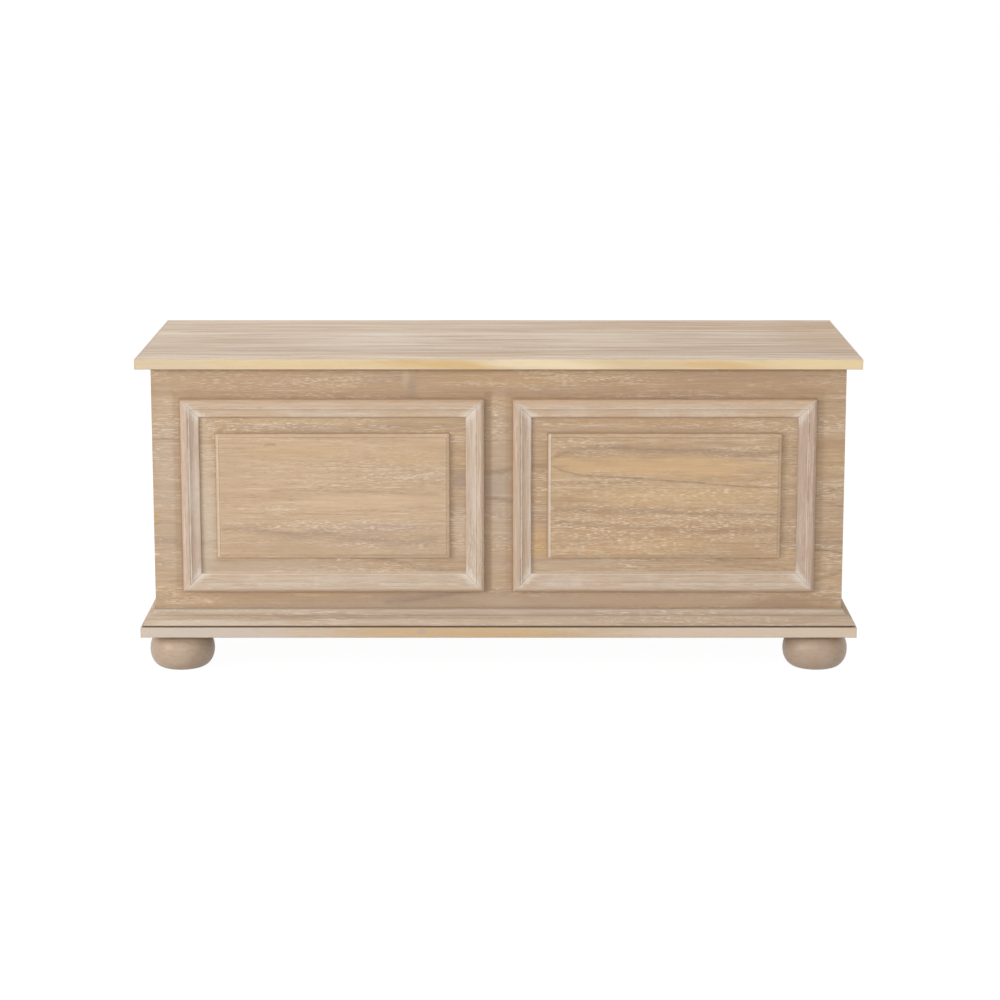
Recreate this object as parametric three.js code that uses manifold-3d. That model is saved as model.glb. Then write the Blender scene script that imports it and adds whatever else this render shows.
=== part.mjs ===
// Blanket chest: a panelled box on bun feet, with a flat lid on two butt hinges and two folding stays.
// Millimetres, +Z up. The origin is on the floor under the middle of the chest; the front faces -Y.
import * as THREE from "three";
import { mergeVertices } from "three/addons/utils/BufferGeometryUtils.js";
import Module from "manifold-3d";

const wasm = await Module();
wasm.setup();

// Lid and base boards
const chestWidth = 1100;
const chestDepth = 450;
const boardThickness = 16;
const edgingThickness = 3;
const edgingRound = 1;
const boardOverhang = 22;
const backOverhang = 10;

// Carcass panels and their tongued corners
const carcassHeight = 398;
const panelThickness = 18;
const tongueThickness = 6;
const tongueLength = 9;
const tonguePlay = 0.3;

// Applied frames on the front: a bead, a fillet and a curved slope, mitred at the corners
const stileWidth = 44;
const topRailWidth = 46;
const bottomRailShowing = 27;
const frameMouldingWidth = 28;
const frameSideHeight = 6.4;
const frameBeadWidth = 11;
const frameBeadCrest = 5.4;
const frameBeadHeight = 10.8;
const frameBeadFoot = 9.8;
const frameBeadOuterShares = [0.28, 0.42, 0.7];
const frameBeadInnerShares = [0.4, 0.5];
const frameQuirkWidth = 1.4;
const frameQuirkFloor = 8.4;
const frameFilletWidth = 1.4;
const frameFilletHeight = 9.6;
const frameSlopeHeight = 8.6;
const frameLipWidth = 1.2;
const frameLipHeight = 4.2;
const frameSlopeShares = [0.22, 0.45, 0.52, 0.06];
const mitrePlay = 0.1;

// Raised panels inside the frames
const raisedPanelMargin = 25;
const raisedPanelThickness = 8;
const raisedPanelBevel = 4.5;
const raisedPanelBevelDrop = 2.6;
const raisedPanelRound = 0.8;

// Base moulding: a cove over a reverse curve, undercut along its foot
const baseMouldingHeight = 26;
const baseMouldingDepth = 20;
const baseTopWidth = 2.4;
const baseCoveDepth = 4.8;
const baseCoveDrop = 9.5;
const baseFilletWidth = 0.6;
const baseLipHeight = 4;
const baseShadowDepth = 4;
const baseShadowHeight = 2.4;
const baseCoveShares = [0.25, 0.8];
const baseCurveShares = [0.54, 1.02, 0.77, 0.3];

// Bun feet with their bolts and tee nuts
const footRadius = 50;
const footHeight = 58;
const footFlatRadius = 25;
const footInset = 58;
const footSteps = 12;
const footSquareness = 2.4;
const footBoltRadius = 4;
const footBoltLength = 44;
const footBoreDepth = 32;
const footBoltPlay = 0.3;
const teeNutFlangeRadius = 10;
const teeNutFlangeThickness = 1.6;
const teeNutBarrelRadius = 5.5;
const teeNutBarrelLength = 9;
const teeNutPlay = 0.3;

// Bumpers that carry the lid's front edge
const bumperHeight = 2;
const bumperRadius = 5;
const bumperInset = 30;

// Butt hinges: one leaf on the back panel's outer face, one under the lid
const hingeInset = 200;
const hingeLength = 60;
const leafThickness = 1.5;
const bodyLeafHeight = 26;
const lidLeafReach = 28;
const hingePinRadius = 1.75;
const hingePinPlay = 0.1;
const hingePinHeadRadius = 2.6;
const hingePinHeadLength = 1;
const knuckleWall = 1.6;
const knuckleCount = 5;
const knucklePlay = 0.3;
const barrelPlay = 0.2;
const leafScrewRadius = 2.1;
const leafScrewCount = 3;
const leafScrewEdge = 7;

// Folding stays: the pivots of each stay and the hinge axis form a parallelogram
const stayPlate = 1.5;
const stayPlay = 0.3;
const sidePivotForward = 70;
const sidePivotDown = 210;
const lidPivotForward = 165;
const lidPivotDrop = 11;
const armHalfWidth = 6.5;
const armEyeRadius = 8;
const pivotRadius = 3;
const pivotHeadRadius = 5;
const pivotHeadThickness = 1.2;
const elbowRivetRadius = 2.5;
const elbowHeadRadius = 4.5;
const elbowHeadThickness = 1;
const elbowHeadPlay = 0.15;
const sideBracketHalfLength = 15;
const lidBracketHalfLength = 14;
const lidBracketFlange = 22;
const bracketScrewRadius = 2.1;
const bracketScrewEdge = 7;
const stopTabReach = 14;
const stopTabLength = 5;
const stopTabEyeRadius = 4;
const lidOpenDegrees = 100;

// Facets
const footFacets = 32;
const roundFacets = 16;
const screwHoleFacets = 10;
const beadFacets = 9;
const slopeFacets = 7;
const cornerFacets = 3;
const overrun = 1;
const weldTolerance = 1e-4;

// Levels and faces that several pieces share
const halfWidth = chestWidth / 2;
const halfDepth = chestDepth / 2;
const baseTop = footHeight + boardThickness;
const carcassTop = baseTop + carcassHeight;
const lidUnderside = carcassTop + bumperHeight;
const carcassHalfWidth = halfWidth - boardOverhang;
const carcassFront = boardOverhang - halfDepth;
const carcassBack = halfDepth - backOverhang;
const innerHalfWidth = carcassHalfWidth - panelThickness;
const innerFront = carcassFront + panelThickness;
const innerBack = carcassBack - panelThickness;
const barrelRadius = hingePinRadius + hingePinPlay + knuckleWall;
const hingeY = carcassBack + barrelRadius + barrelPlay;
const hingeZ = lidUnderside - barrelRadius - barrelPlay;

const leftAndRight = [
  ["left", -1],
  ["right", 1],
];

const woodFinish = { roughness: 0.72, metalness: 0 };
const boardMaterial = new THREE.MeshStandardMaterial({ color: 0xbfa583, ...woodFinish });
const mouldingMaterial = new THREE.MeshStandardMaterial({ color: 0xc9ae90, ...woodFinish });
const edgingMaterial = new THREE.MeshStandardMaterial({ color: 0xd6bd94, ...woodFinish });
const footMaterial = new THREE.MeshStandardMaterial({ color: 0xa58a6e, roughness: 0.5, metalness: 0 });
const steelMaterial = new THREE.MeshStandardMaterial({ color: 0xb9bbbd, roughness: 0.35, metalness: 0.9 });
const brassMaterial = new THREE.MeshStandardMaterial({ color: 0xb08d4c, roughness: 0.35, metalness: 0.9 });
const bumperMaterial = new THREE.MeshStandardMaterial({ color: 0xd9d5cc, roughness: 0.8, metalness: 0 });

const chest = new THREE.Group();

function addMesh(parent, name, geometry, material) {
  const mesh = new THREE.Mesh(geometry, material);
  mesh.name = name;
  parent.add(mesh);
  return mesh;
}

// Solids for the cuts and joins
function toSolid(geometry) {
  const bare = geometry.clone();
  bare.deleteAttribute("normal");
  bare.deleteAttribute("uv");
  const welded = mergeVertices(bare, weldTolerance);
  const mesh = new wasm.Mesh({
    numProp: 3,
    vertProperties: welded.attributes.position.array,
    triVerts: new Uint32Array(welded.index.array),
  });
  return new wasm.Manifold(mesh);
}

function toGeometry(solid) {
  const mesh = solid.getMesh();
  const indexed = new THREE.BufferGeometry();
  indexed.setAttribute("position", new THREE.BufferAttribute(new Float32Array(mesh.vertProperties), 3));
  indexed.setIndex(new THREE.BufferAttribute(new Uint32Array(mesh.triVerts), 1));
  const geometry = indexed.toNonIndexed();
  geometry.computeVertexNormals();
  return geometry;
}

function join(...geometries) {
  return toGeometry(geometries.map(toSolid).reduce((whole, piece) => whole.add(piece)));
}

function cut(geometry, ...tools) {
  return toGeometry(tools.map(toSolid).reduce((rest, tool) => rest.subtract(tool), toSolid(geometry)));
}

// Boxes and rods between stated faces
function boxBetween([x0, x1], [y0, y1], [z0, z1]) {
  const box = new THREE.BoxGeometry(x1 - x0, y1 - y0, z1 - z0);
  return box.translate((x0 + x1) / 2, (y0 + y1) / 2, (z0 + z1) / 2);
}

function rodUp(radius, [z0, z1], x, y, facets = roundFacets) {
  const rod = new THREE.CylinderGeometry(radius, radius, z1 - z0, facets);
  return rod.rotateX(Math.PI / 2).translate(x, y, (z0 + z1) / 2);
}

function rodAcross(radius, [x0, x1], y, z, facets = roundFacets) {
  const rod = new THREE.CylinderGeometry(radius, radius, x1 - x0, facets);
  return rod.rotateZ(-Math.PI / 2).translate((x0 + x1) / 2, y, z);
}

function rodThrough(radius, [y0, y1], x, z, facets = roundFacets) {
  const rod = new THREE.CylinderGeometry(radius, radius, y1 - y0, facets);
  return rod.translate(x, (y0 + y1) / 2, z);
}

// A length of moulding along X. The profile runs out along Y and up Z; each end is cut where it says for that Y.
function mouldingLength(profile, startAt, endAt, curveSegments) {
  const geometry = new THREE.ExtrudeGeometry(profile, { depth: 1, bevelEnabled: false, curveSegments });
  const position = geometry.attributes.position;
  for (let i = 0; i < position.count; i += 1) {
    const out = position.getX(i);
    const up = position.getY(i);
    const x = position.getZ(i) > 0 ? endAt(out) : startAt(out);
    position.setXYZ(i, x, out, up);
  }
  geometry.computeVertexNormals();
  return geometry;
}

// A block with a rectangular outline that steps in by each ring's inset as it rises
function steppedBlock(width, height, rings) {
  const points = [];
  for (const [inset, level] of rings) {
    const x = width / 2 - inset;
    const y = height / 2 - inset;
    points.push(-x, -y, level, x, -y, level, x, y, level, -x, y, level);
  }
  const faces = [0, 2, 1, 0, 3, 2];
  for (let ring = 0; ring + 1 < rings.length; ring += 1) {
    for (let side = 0; side < 4; side += 1) {
      const a = ring * 4 + side;
      const b = ring * 4 + ((side + 1) % 4);
      faces.push(a, b, b + 4, a, b + 4, a + 4);
    }
  }
  const top = (rings.length - 1) * 4;
  faces.push(top, top + 1, top + 2, top, top + 2, top + 3);
  const geometry = new THREE.BufferGeometry();
  geometry.setAttribute("position", new THREE.Float32BufferAttribute(points, 3));
  geometry.setIndex(faces);
  const flat = geometry.toNonIndexed();
  flat.computeVertexNormals();
  return flat;
}

// Lid and base boards: a panel lipped all round with solid edging, rounded along its outer arrises
function edgingProfile() {
  const turn = Math.PI / 2;
  const profile = new THREE.Shape();
  profile.moveTo(0, 0);
  profile.lineTo(edgingThickness - edgingRound, 0);
  profile.absarc(edgingThickness - edgingRound, edgingRound, edgingRound, -turn, 0, false);
  profile.lineTo(edgingThickness, boardThickness - edgingRound);
  profile.absarc(edgingThickness - edgingRound, boardThickness - edgingRound, edgingRound, 0, turn, false);
  profile.lineTo(0, boardThickness);
  profile.closePath();
  return profile;
}

function addEdging(parent, name, underside) {
  const panelHalfWidth = halfWidth - edgingThickness;
  const panelHalfDepth = halfDepth - edgingThickness;
  const sides = [
    { side: "front", turn: Math.PI, half: panelHalfWidth, at: [0, -panelHalfDepth] },
    { side: "back", turn: 0, half: panelHalfWidth, at: [0, panelHalfDepth] },
    { side: "left", turn: Math.PI / 2, half: halfDepth, at: [-panelHalfWidth, 0] },
    { side: "right", turn: -Math.PI / 2, half: halfDepth, at: [panelHalfWidth, 0] },
  ];
  for (const { side, turn, half, at } of sides) {
    const strip = mouldingLength(edgingProfile(), () => -half, () => half, cornerFacets);
    const mesh = addMesh(parent, `${name}_edging_${side}`, strip, edgingMaterial);
    mesh.rotation.z = turn;
    mesh.position.set(at[0], at[1], underside);
  }
}

function boardPanel(underside) {
  const x = halfWidth - edgingThickness;
  const y = halfDepth - edgingThickness;
  return boxBetween([-x, x], [-y, y], [underside, underside + boardThickness]);
}

const footPlaces = [
  { name: "front_left", x: footInset - halfWidth, y: footInset - halfDepth },
  { name: "front_right", x: halfWidth - footInset, y: footInset - halfDepth },
  { name: "back_left", x: footInset - halfWidth, y: halfDepth - footInset },
  { name: "back_right", x: halfWidth - footInset, y: halfDepth - footInset },
];

function buildBase() {
  const seats = footPlaces.flatMap(({ x, y }) => [
    rodUp(footBoltRadius + footBoltPlay, [footHeight - overrun, baseTop + overrun], x, y),
    rodUp(
      teeNutBarrelRadius + teeNutPlay,
      [baseTop - teeNutFlangeThickness - teeNutBarrelLength - teeNutPlay, baseTop + overrun],
      x,
      y,
    ),
    rodUp(teeNutFlangeRadius + teeNutPlay, [baseTop - teeNutFlangeThickness, baseTop + overrun], x, y),
  ]);
  addMesh(chest, "base_board", cut(boardPanel(footHeight), ...seats), boardMaterial);
  addEdging(chest, "base", footHeight);
}

// Bun foot: flat top and bottom, swollen at half height, bored for its bolt
function footGeometry() {
  const profile = [new THREE.Vector2(0, 0)];
  for (let step = 0; step <= footSteps; step += 1) {
    const height = -Math.cos((Math.PI * step) / footSteps);
    const swell = (1 - height * height) ** (1 / footSquareness);
    const radius = footFlatRadius + (footRadius - footFlatRadius) * swell;
    profile.push(new THREE.Vector2(radius, (footHeight * (1 + height)) / 2));
  }
  profile.push(new THREE.Vector2(footBoltRadius + footBoltPlay, footHeight));
  profile.push(new THREE.Vector2(footBoltRadius + footBoltPlay, footHeight - footBoreDepth));
  profile.push(new THREE.Vector2(0, footHeight - footBoreDepth));
  return new THREE.LatheGeometry(profile, footFacets).rotateX(Math.PI / 2);
}

function teeNutGeometry() {
  const top = baseTop;
  const flange = rodUp(teeNutFlangeRadius, [top - teeNutFlangeThickness, top], 0, 0);
  const barrel = rodUp(teeNutBarrelRadius, [top - teeNutFlangeThickness - teeNutBarrelLength, top], 0, 0);
  const bore = rodUp(footBoltRadius + footBoltPlay, [footHeight, top + overrun], 0, 0);
  return cut(join(flange, barrel), bore);
}

function buildFeet() {
  const boltBottom = footHeight - footBoreDepth + footBoltPlay;
  const foot = footGeometry();
  const bolt = rodUp(footBoltRadius, [boltBottom, boltBottom + footBoltLength], 0, 0);
  const nut = teeNutGeometry();
  for (const { name, x, y } of footPlaces) {
    addMesh(chest, `${name}_foot`, foot, footMaterial).position.set(x, y, 0);
    addMesh(chest, `${name}_foot_bolt`, bolt, steelMaterial).position.set(x, y, 0);
    addMesh(chest, `${name}_foot_tee_nut`, nut, steelMaterial).position.set(x, y, 0);
  }
}

// Front and back panels run the full width and are grooved for the side panels' tongues
function fullWidthPanel([y0, y1], groove) {
  const tongueMiddle = carcassHalfWidth - panelThickness / 2;
  const half = tongueThickness / 2 + tonguePlay;
  const panel = boxBetween([-carcassHalfWidth, carcassHalfWidth], [y0, y1], [baseTop, carcassTop]);
  const grooves = [-tongueMiddle, tongueMiddle].map((x) =>
    boxBetween([x - half, x + half], groove, [baseTop - overrun, carcassTop + overrun]),
  );
  return cut(panel, ...grooves);
}

function sidePanel(side) {
  const outer = carcassHalfWidth;
  const middle = outer - panelThickness / 2;
  const half = tongueThickness / 2;
  const body = boxBetween([outer - panelThickness, outer], [innerFront, innerBack], [baseTop, carcassTop]);
  const tongueEnds = [innerFront - tongueLength, innerBack + tongueLength];
  const tongue = boxBetween([middle - half, middle + half], tongueEnds, [baseTop, carcassTop]);
  const panel = join(body, tongue);
  return side > 0 ? panel : panel.rotateZ(Math.PI).translate(0, innerFront + innerBack, 0);
}

function buildCarcass() {
  const grooveDepth = tongueLength + tonguePlay;
  const front = fullWidthPanel([carcassFront, innerFront], [innerFront - grooveDepth, innerFront + overrun]);
  const back = fullWidthPanel([innerBack, carcassBack], [innerBack - overrun, innerBack + grooveDepth]);
  addMesh(chest, "front_panel", front, boardMaterial);
  addMesh(chest, "back_panel", back, boardMaterial);
  addMesh(chest, "left_side_panel", sidePanel(-1), boardMaterial);
  addMesh(chest, "right_side_panel", sidePanel(1), boardMaterial);
}

// A low bead, rising from the outer side to its crest and falling to the quirk
function addBead(profile) {
  const [outerStart, outerRise, outerEnd] = frameBeadOuterShares;
  const [innerRun, innerFall] = frameBeadInnerShares;
  profile.bezierCurveTo(
    frameBeadCrest * outerStart,
    frameSideHeight + (frameBeadHeight - frameSideHeight) * outerRise,
    frameBeadCrest * outerEnd,
    frameBeadHeight,
    frameBeadCrest,
    frameBeadHeight,
  );
  profile.bezierCurveTo(
    frameBeadCrest + (frameBeadWidth - frameBeadCrest) * innerRun,
    frameBeadHeight,
    frameBeadWidth,
    frameBeadHeight - (frameBeadHeight - frameBeadFoot) * innerFall,
    frameBeadWidth,
    frameBeadFoot,
  );
}

// Frame moulding section, from its outer side to its inner lip
function frameProfile() {
  const bead = frameBeadWidth;
  const fillet = bead + frameQuirkWidth;
  const slope = fillet + frameFilletWidth;
  const lip = frameMouldingWidth - frameLipWidth;
  const run = lip - slope;
  const fall = frameSlopeHeight - frameLipHeight;
  const [out1, up1, out2, up2] = frameSlopeShares;
  const profile = new THREE.Shape();
  profile.moveTo(0, 0);
  profile.lineTo(0, frameSideHeight);
  addBead(profile);
  profile.lineTo(bead, frameQuirkFloor);
  profile.lineTo(fillet, frameQuirkFloor);
  profile.lineTo(fillet, frameFilletHeight);
  profile.lineTo(slope, frameFilletHeight);
  profile.lineTo(slope, frameSlopeHeight);
  profile.bezierCurveTo(
    slope + run * out1,
    frameLipHeight + fall * up1,
    slope + run * out2,
    frameLipHeight + fall * up2,
    lip,
    frameLipHeight,
  );
  profile.lineTo(frameMouldingWidth, frameLipHeight);
  profile.lineTo(frameMouldingWidth, 0);
  profile.closePath();
  return profile;
}

function addFrame(name, centreX, centreZ, width, height) {
  const frame = new THREE.Group();
  frame.position.set(centreX, carcassFront, centreZ);
  frame.rotation.x = Math.PI / 2;
  const members = [
    { side: "bottom", turn: 0, length: width, offset: height / 2 },
    { side: "right", turn: Math.PI / 2, length: height, offset: width / 2 },
    { side: "top", turn: Math.PI, length: width, offset: height / 2 },
    { side: "left", turn: -Math.PI / 2, length: height, offset: width / 2 },
  ];
  for (const { side, turn, length, offset } of members) {
    const half = length / 2 - mitrePlay;
    const strip = mouldingLength(
      frameProfile(),
      (out) => out - half,
      (out) => half - out,
      beadFacets,
    );
    strip.translate(0, -offset, 0);
    const mesh = addMesh(frame, `${name}_frame_${side}`, strip, mouldingMaterial);
    mesh.rotation.z = turn;
  }
  chest.add(frame);
}

function addRaisedPanel(name, centreX, centreZ, width, height) {
  const rings = [
    [0, 0],
    [0, raisedPanelThickness - raisedPanelBevelDrop],
    [raisedPanelRound, raisedPanelThickness - raisedPanelBevelDrop + raisedPanelRound],
    [raisedPanelBevel, raisedPanelThickness],
  ];
  const mesh = addMesh(chest, `${name}_raised_panel`, steppedBlock(width, height, rings), boardMaterial);
  mesh.position.set(centreX, carcassFront, centreZ);
  mesh.rotation.x = Math.PI / 2;
}

function buildFront() {
  const frameWidth = (2 * carcassHalfWidth - 3 * stileWidth) / 2;
  const frameHeight = carcassHeight - topRailWidth - baseMouldingHeight - bottomRailShowing;
  const centreX = (stileWidth + frameWidth) / 2;
  const centreZ = carcassTop - topRailWidth - frameHeight / 2;
  const inset = 2 * (frameMouldingWidth + raisedPanelMargin);
  for (const [name, side] of leftAndRight) {
    addFrame(name, side * centreX, centreZ, frameWidth, frameHeight);
    addRaisedPanel(name, side * centreX, centreZ, frameWidth - inset, frameHeight - inset);
  }
}

// Base moulding section, from the carcass outwards
function baseProfile() {
  const cove = baseTopWidth + baseCoveDepth;
  const coveFoot = baseMouldingHeight - baseCoveDrop;
  const curve = cove + baseFilletWidth;
  const run = baseMouldingDepth - curve;
  const fall = coveFoot - baseLipHeight;
  const [coveOut, coveDown] = baseCoveShares;
  const [out1, up1, out2, up2] = baseCurveShares;
  const profile = new THREE.Shape();
  profile.moveTo(0, 0);
  profile.lineTo(baseMouldingDepth - baseShadowDepth, 0);
  profile.lineTo(baseMouldingDepth - baseShadowDepth, baseShadowHeight);
  profile.lineTo(baseMouldingDepth, baseShadowHeight);
  profile.lineTo(baseMouldingDepth, baseLipHeight);
  profile.bezierCurveTo(
    curve + run * out2,
    baseLipHeight + fall * up2,
    curve + run * out1,
    baseLipHeight + fall * up1,
    curve,
    coveFoot,
  );
  profile.lineTo(cove, coveFoot);
  profile.quadraticCurveTo(
    baseTopWidth + baseCoveDepth * coveOut,
    baseMouldingHeight - baseCoveDrop * coveDown,
    baseTopWidth,
    baseMouldingHeight,
  );
  profile.lineTo(0, baseMouldingHeight);
  profile.closePath();
  return profile;
}

function buildBaseMoulding() {
  const half = carcassHalfWidth - mitrePlay;
  const frontStrip = mouldingLength(
    baseProfile(),
    (out) => -half - out,
    (out) => half + out,
    slopeFacets,
  );
  const front = addMesh(chest, "base_moulding_front", frontStrip, mouldingMaterial);
  front.rotation.z = Math.PI;
  front.position.set(0, carcassFront, baseTop);
  const mitreAt = (out) => carcassFront + mitrePlay - out;
  const rightStrip = mouldingLength(
    baseProfile(),
    () => -carcassBack,
    (out) => -mitreAt(out),
    slopeFacets,
  );
  const right = addMesh(chest, "base_moulding_right", rightStrip, mouldingMaterial);
  right.rotation.z = -Math.PI / 2;
  right.position.set(carcassHalfWidth, 0, baseTop);
  const leftStrip = mouldingLength(baseProfile(), mitreAt, () => carcassBack, slopeFacets);
  const left = addMesh(chest, "base_moulding_left", leftStrip, mouldingMaterial);
  left.rotation.z = Math.PI / 2;
  left.position.set(-carcassHalfWidth, 0, baseTop);
}

function buildBumpers() {
  const y = (carcassFront + innerFront) / 2;
  for (const [name, side] of leftAndRight) {
    const x = side * (carcassHalfWidth - bumperInset);
    const bumper = rodUp(bumperRadius, [carcassTop, lidUnderside], x, y);
    addMesh(chest, `${name}_lid_bumper`, bumper, bumperMaterial);
  }
}

function buildLid() {
  addMesh(chest, "lid_panel", boardPanel(lidUnderside), boardMaterial);
  addEdging(chest, "lid", lidUnderside);
}

// Hinge knuckles take turns along the barrel: even ones on the body leaf, odd ones on the lid leaf
function knuckleSpan(index) {
  const length = (hingeLength - (knuckleCount - 1) * knucklePlay) / knuckleCount;
  const start = index * (length + knucklePlay) - hingeLength / 2;
  return [start, start + length];
}

function leafWithKnuckles(plate, parity, notchBox, screwHoles) {
  const knuckles = [];
  const notches = [];
  for (let index = 0; index < knuckleCount; index += 1) {
    const [start, end] = knuckleSpan(index);
    if (index % 2 === parity) {
      knuckles.push(rodAcross(barrelRadius, [start, end], hingeY, hingeZ));
    } else {
      const from = index === 0 ? start - overrun : start - knucklePlay;
      const to = index === knuckleCount - 1 ? end + overrun : end + knucklePlay;
      notches.push(notchBox([from, to]));
    }
  }
  const ends = [-hingeLength / 2 - overrun, hingeLength / 2 + overrun];
  const bore = rodAcross(hingePinRadius + hingePinPlay, ends, hingeY, hingeZ);
  return cut(join(cut(plate, ...notches, ...screwHoles), ...knuckles), bore);
}

function leafScrewX(index) {
  const span = hingeLength - 2 * leafScrewEdge;
  return (index / (leafScrewCount - 1) - 1 / 2) * span;
}

function bodyLeaf() {
  const faces = [carcassBack, carcassBack + leafThickness];
  const bottom = hingeZ - bodyLeafHeight;
  const plate = boxBetween([-hingeLength / 2, hingeLength / 2], faces, [bottom, hingeZ]);
  const notch = (span) =>
    boxBetween(
      span,
      [carcassBack - overrun, carcassBack + leafThickness + overrun],
      [hingeZ - barrelRadius - knucklePlay, hingeZ + overrun],
    );
  const holes = [];
  for (let index = 0; index < leafScrewCount; index += 1) {
    const depth = [carcassBack - overrun, carcassBack + leafThickness + overrun];
    holes.push(rodThrough(leafScrewRadius, depth, leafScrewX(index), bottom + leafScrewEdge, screwHoleFacets));
  }
  return leafWithKnuckles(plate, 0, notch, holes);
}

function lidLeaf() {
  const levels = [lidUnderside - leafThickness, lidUnderside];
  const end = hingeY - lidLeafReach;
  const plate = boxBetween([-hingeLength / 2, hingeLength / 2], [end, hingeY], levels);
  const notch = (span) =>
    boxBetween(
      span,
      [hingeY - barrelRadius - knucklePlay, hingeY + overrun],
      [levels[0] - overrun, levels[1] + overrun],
    );
  const holes = [];
  for (let index = 0; index < leafScrewCount; index += 1) {
    const depth = [levels[0] - overrun, levels[1] + overrun];
    holes.push(rodUp(leafScrewRadius, depth, leafScrewX(index), end + leafScrewEdge, screwHoleFacets));
  }
  return leafWithKnuckles(plate, 1, notch, holes);
}

function hingePin() {
  const half = hingeLength / 2;
  const shank = rodAcross(hingePinRadius, [-half - overrun, half + overrun], hingeY, hingeZ);
  const heads = [-1, 1].map((side) => {
    const inner = side * (half + knucklePlay);
    const outer = side * (half + knucklePlay + hingePinHeadLength);
    const ends = [Math.min(inner, outer), Math.max(inner, outer)];
    return rodAcross(hingePinHeadRadius, ends, hingeY, hingeZ);
  });
  return join(shank, ...heads);
}

function buildHinges() {
  const leafOnBody = bodyLeaf();
  const leafOnLid = lidLeaf();
  const pin = hingePin();
  for (const [name, side] of leftAndRight) {
    const x = side * (carcassHalfWidth - hingeInset);
    addMesh(chest, `${name}_hinge_body_leaf`, leafOnBody, brassMaterial).position.x = x;
    addMesh(chest, `${name}_hinge_lid_leaf`, leafOnLid, brassMaterial).position.x = x;
    addMesh(chest, `${name}_hinge_pin`, pin, brassMaterial).position.x = x;
  }
}

// Pivots of the right-hand stay in the plane of its arms, as [y, z]; the elbow completes the parallelogram
const lidPivot = new THREE.Vector2(hingeY - lidPivotForward, lidUnderside - lidPivotDrop);
const sidePivot = new THREE.Vector2(hingeY - sidePivotForward, hingeZ - sidePivotDown);
const hingePivot = new THREE.Vector2(hingeY, hingeZ);
const elbow = lidPivot.clone().add(sidePivot).sub(hingePivot);

// Faces of the stay's layers, from the side panel inwards
const sidePlateFace = innerHalfWidth - stayPlate;
const lowerArmSpan = [sidePlateFace - stayPlay - stayPlate, sidePlateFace - stayPlay];
const upperArmSpan = [lowerArmSpan[0] - stayPlay - stayPlate, lowerArmSpan[0] - stayPlay];

// An outline in the plane of the arms becomes a plate across X
function plateAcross(shape, [x0, x1]) {
  const plate = new THREE.ExtrudeGeometry(shape, {
    depth: x1 - x0,
    bevelEnabled: false,
    curveSegments: roundFacets / 2,
  });
  const turn = new THREE.Matrix4().set(0, 0, 1, x0, 1, 0, 0, 0, 0, 1, 0, 0, 0, 0, 0, 1);
  return plate.applyMatrix4(turn);
}

// A bar with a round end about each of two points
function barOutline(from, to, radius) {
  const along = to.clone().sub(from).angle();
  const shape = new THREE.Shape();
  shape.absarc(to.x, to.y, radius, along - Math.PI / 2, along + Math.PI / 2, false);
  shape.absarc(from.x, from.y, radius, along + Math.PI / 2, along + (3 * Math.PI) / 2, false);
  shape.closePath();
  return shape;
}

function eye(centre, radius, span) {
  return rodAcross(radius, span, centre.x, centre.y);
}

function widened([x0, x1]) {
  return [x0 - overrun, x1 + overrun];
}

function armWithEyes(from, to, span) {
  const bar = plateAcross(barOutline(from, to, armHalfWidth), span);
  return join(bar, eye(from, armEyeRadius, span), eye(to, armEyeRadius, span));
}

function lowerArm() {
  const arm = armWithEyes(sidePivot, elbow, lowerArmSpan);
  return cut(
    arm,
    eye(sidePivot, pivotRadius + stayPlay, widened(lowerArmSpan)),
    eye(elbow, elbowRivetRadius + elbowHeadPlay, widened(lowerArmSpan)),
  );
}

// The tab on the upper arm's tail meets the lower arm's edge when the lid is fully open
function stopTab() {
  const open = THREE.MathUtils.degToRad(lidOpenDegrees);
  const lowerAngle = sidePivot.clone().sub(elbow).angle() - open;
  const offset = armHalfWidth + stayPlay + stayPlate / 2;
  const along = Math.sqrt(stopTabReach ** 2 - offset ** 2);
  const centre = new THREE.Vector2(along, -offset).rotateAround(new THREE.Vector2(), lowerAngle).add(elbow);
  const span = [upperArmSpan[0], lowerArmSpan[1]];
  const tab = new THREE.BoxGeometry(span[1] - span[0], stopTabLength, stayPlate);
  tab.rotateX(lowerAngle).translate((span[0] + span[1]) / 2, centre.x, centre.y);
  const tail = plateAcross(barOutline(elbow, centre, stopTabEyeRadius), upperArmSpan);
  return join(tab, tail);
}

function upperArm() {
  const arm = join(armWithEyes(elbow, lidPivot, upperArmSpan), stopTab());
  return cut(
    arm,
    eye(elbow, elbowRivetRadius + stayPlay, widened(upperArmSpan)),
    eye(lidPivot, pivotRadius + stayPlay, widened(upperArmSpan)),
  );
}

function elbowRivet() {
  const inner = upperArmSpan[0] - elbowHeadPlay;
  const outer = lowerArmSpan[1] + elbowHeadPlay;
  return join(
    eye(elbow, elbowRivetRadius, [inner - elbowHeadThickness / 2, outer + elbowHeadThickness / 2]),
    eye(elbow, elbowHeadRadius, [inner - elbowHeadThickness, inner]),
    eye(elbow, elbowHeadRadius, [outer, outer + elbowHeadThickness]),
  );
}

// A rivet headed over the arm that it carries
function pivotStud(centre, root, armSpan) {
  const headFace = armSpan[0] - stayPlay;
  return [
    eye(centre, pivotRadius, [headFace - pivotHeadThickness / 2, root]),
    eye(centre, pivotHeadRadius, [headFace - pivotHeadThickness, headFace]),
  ];
}

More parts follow.
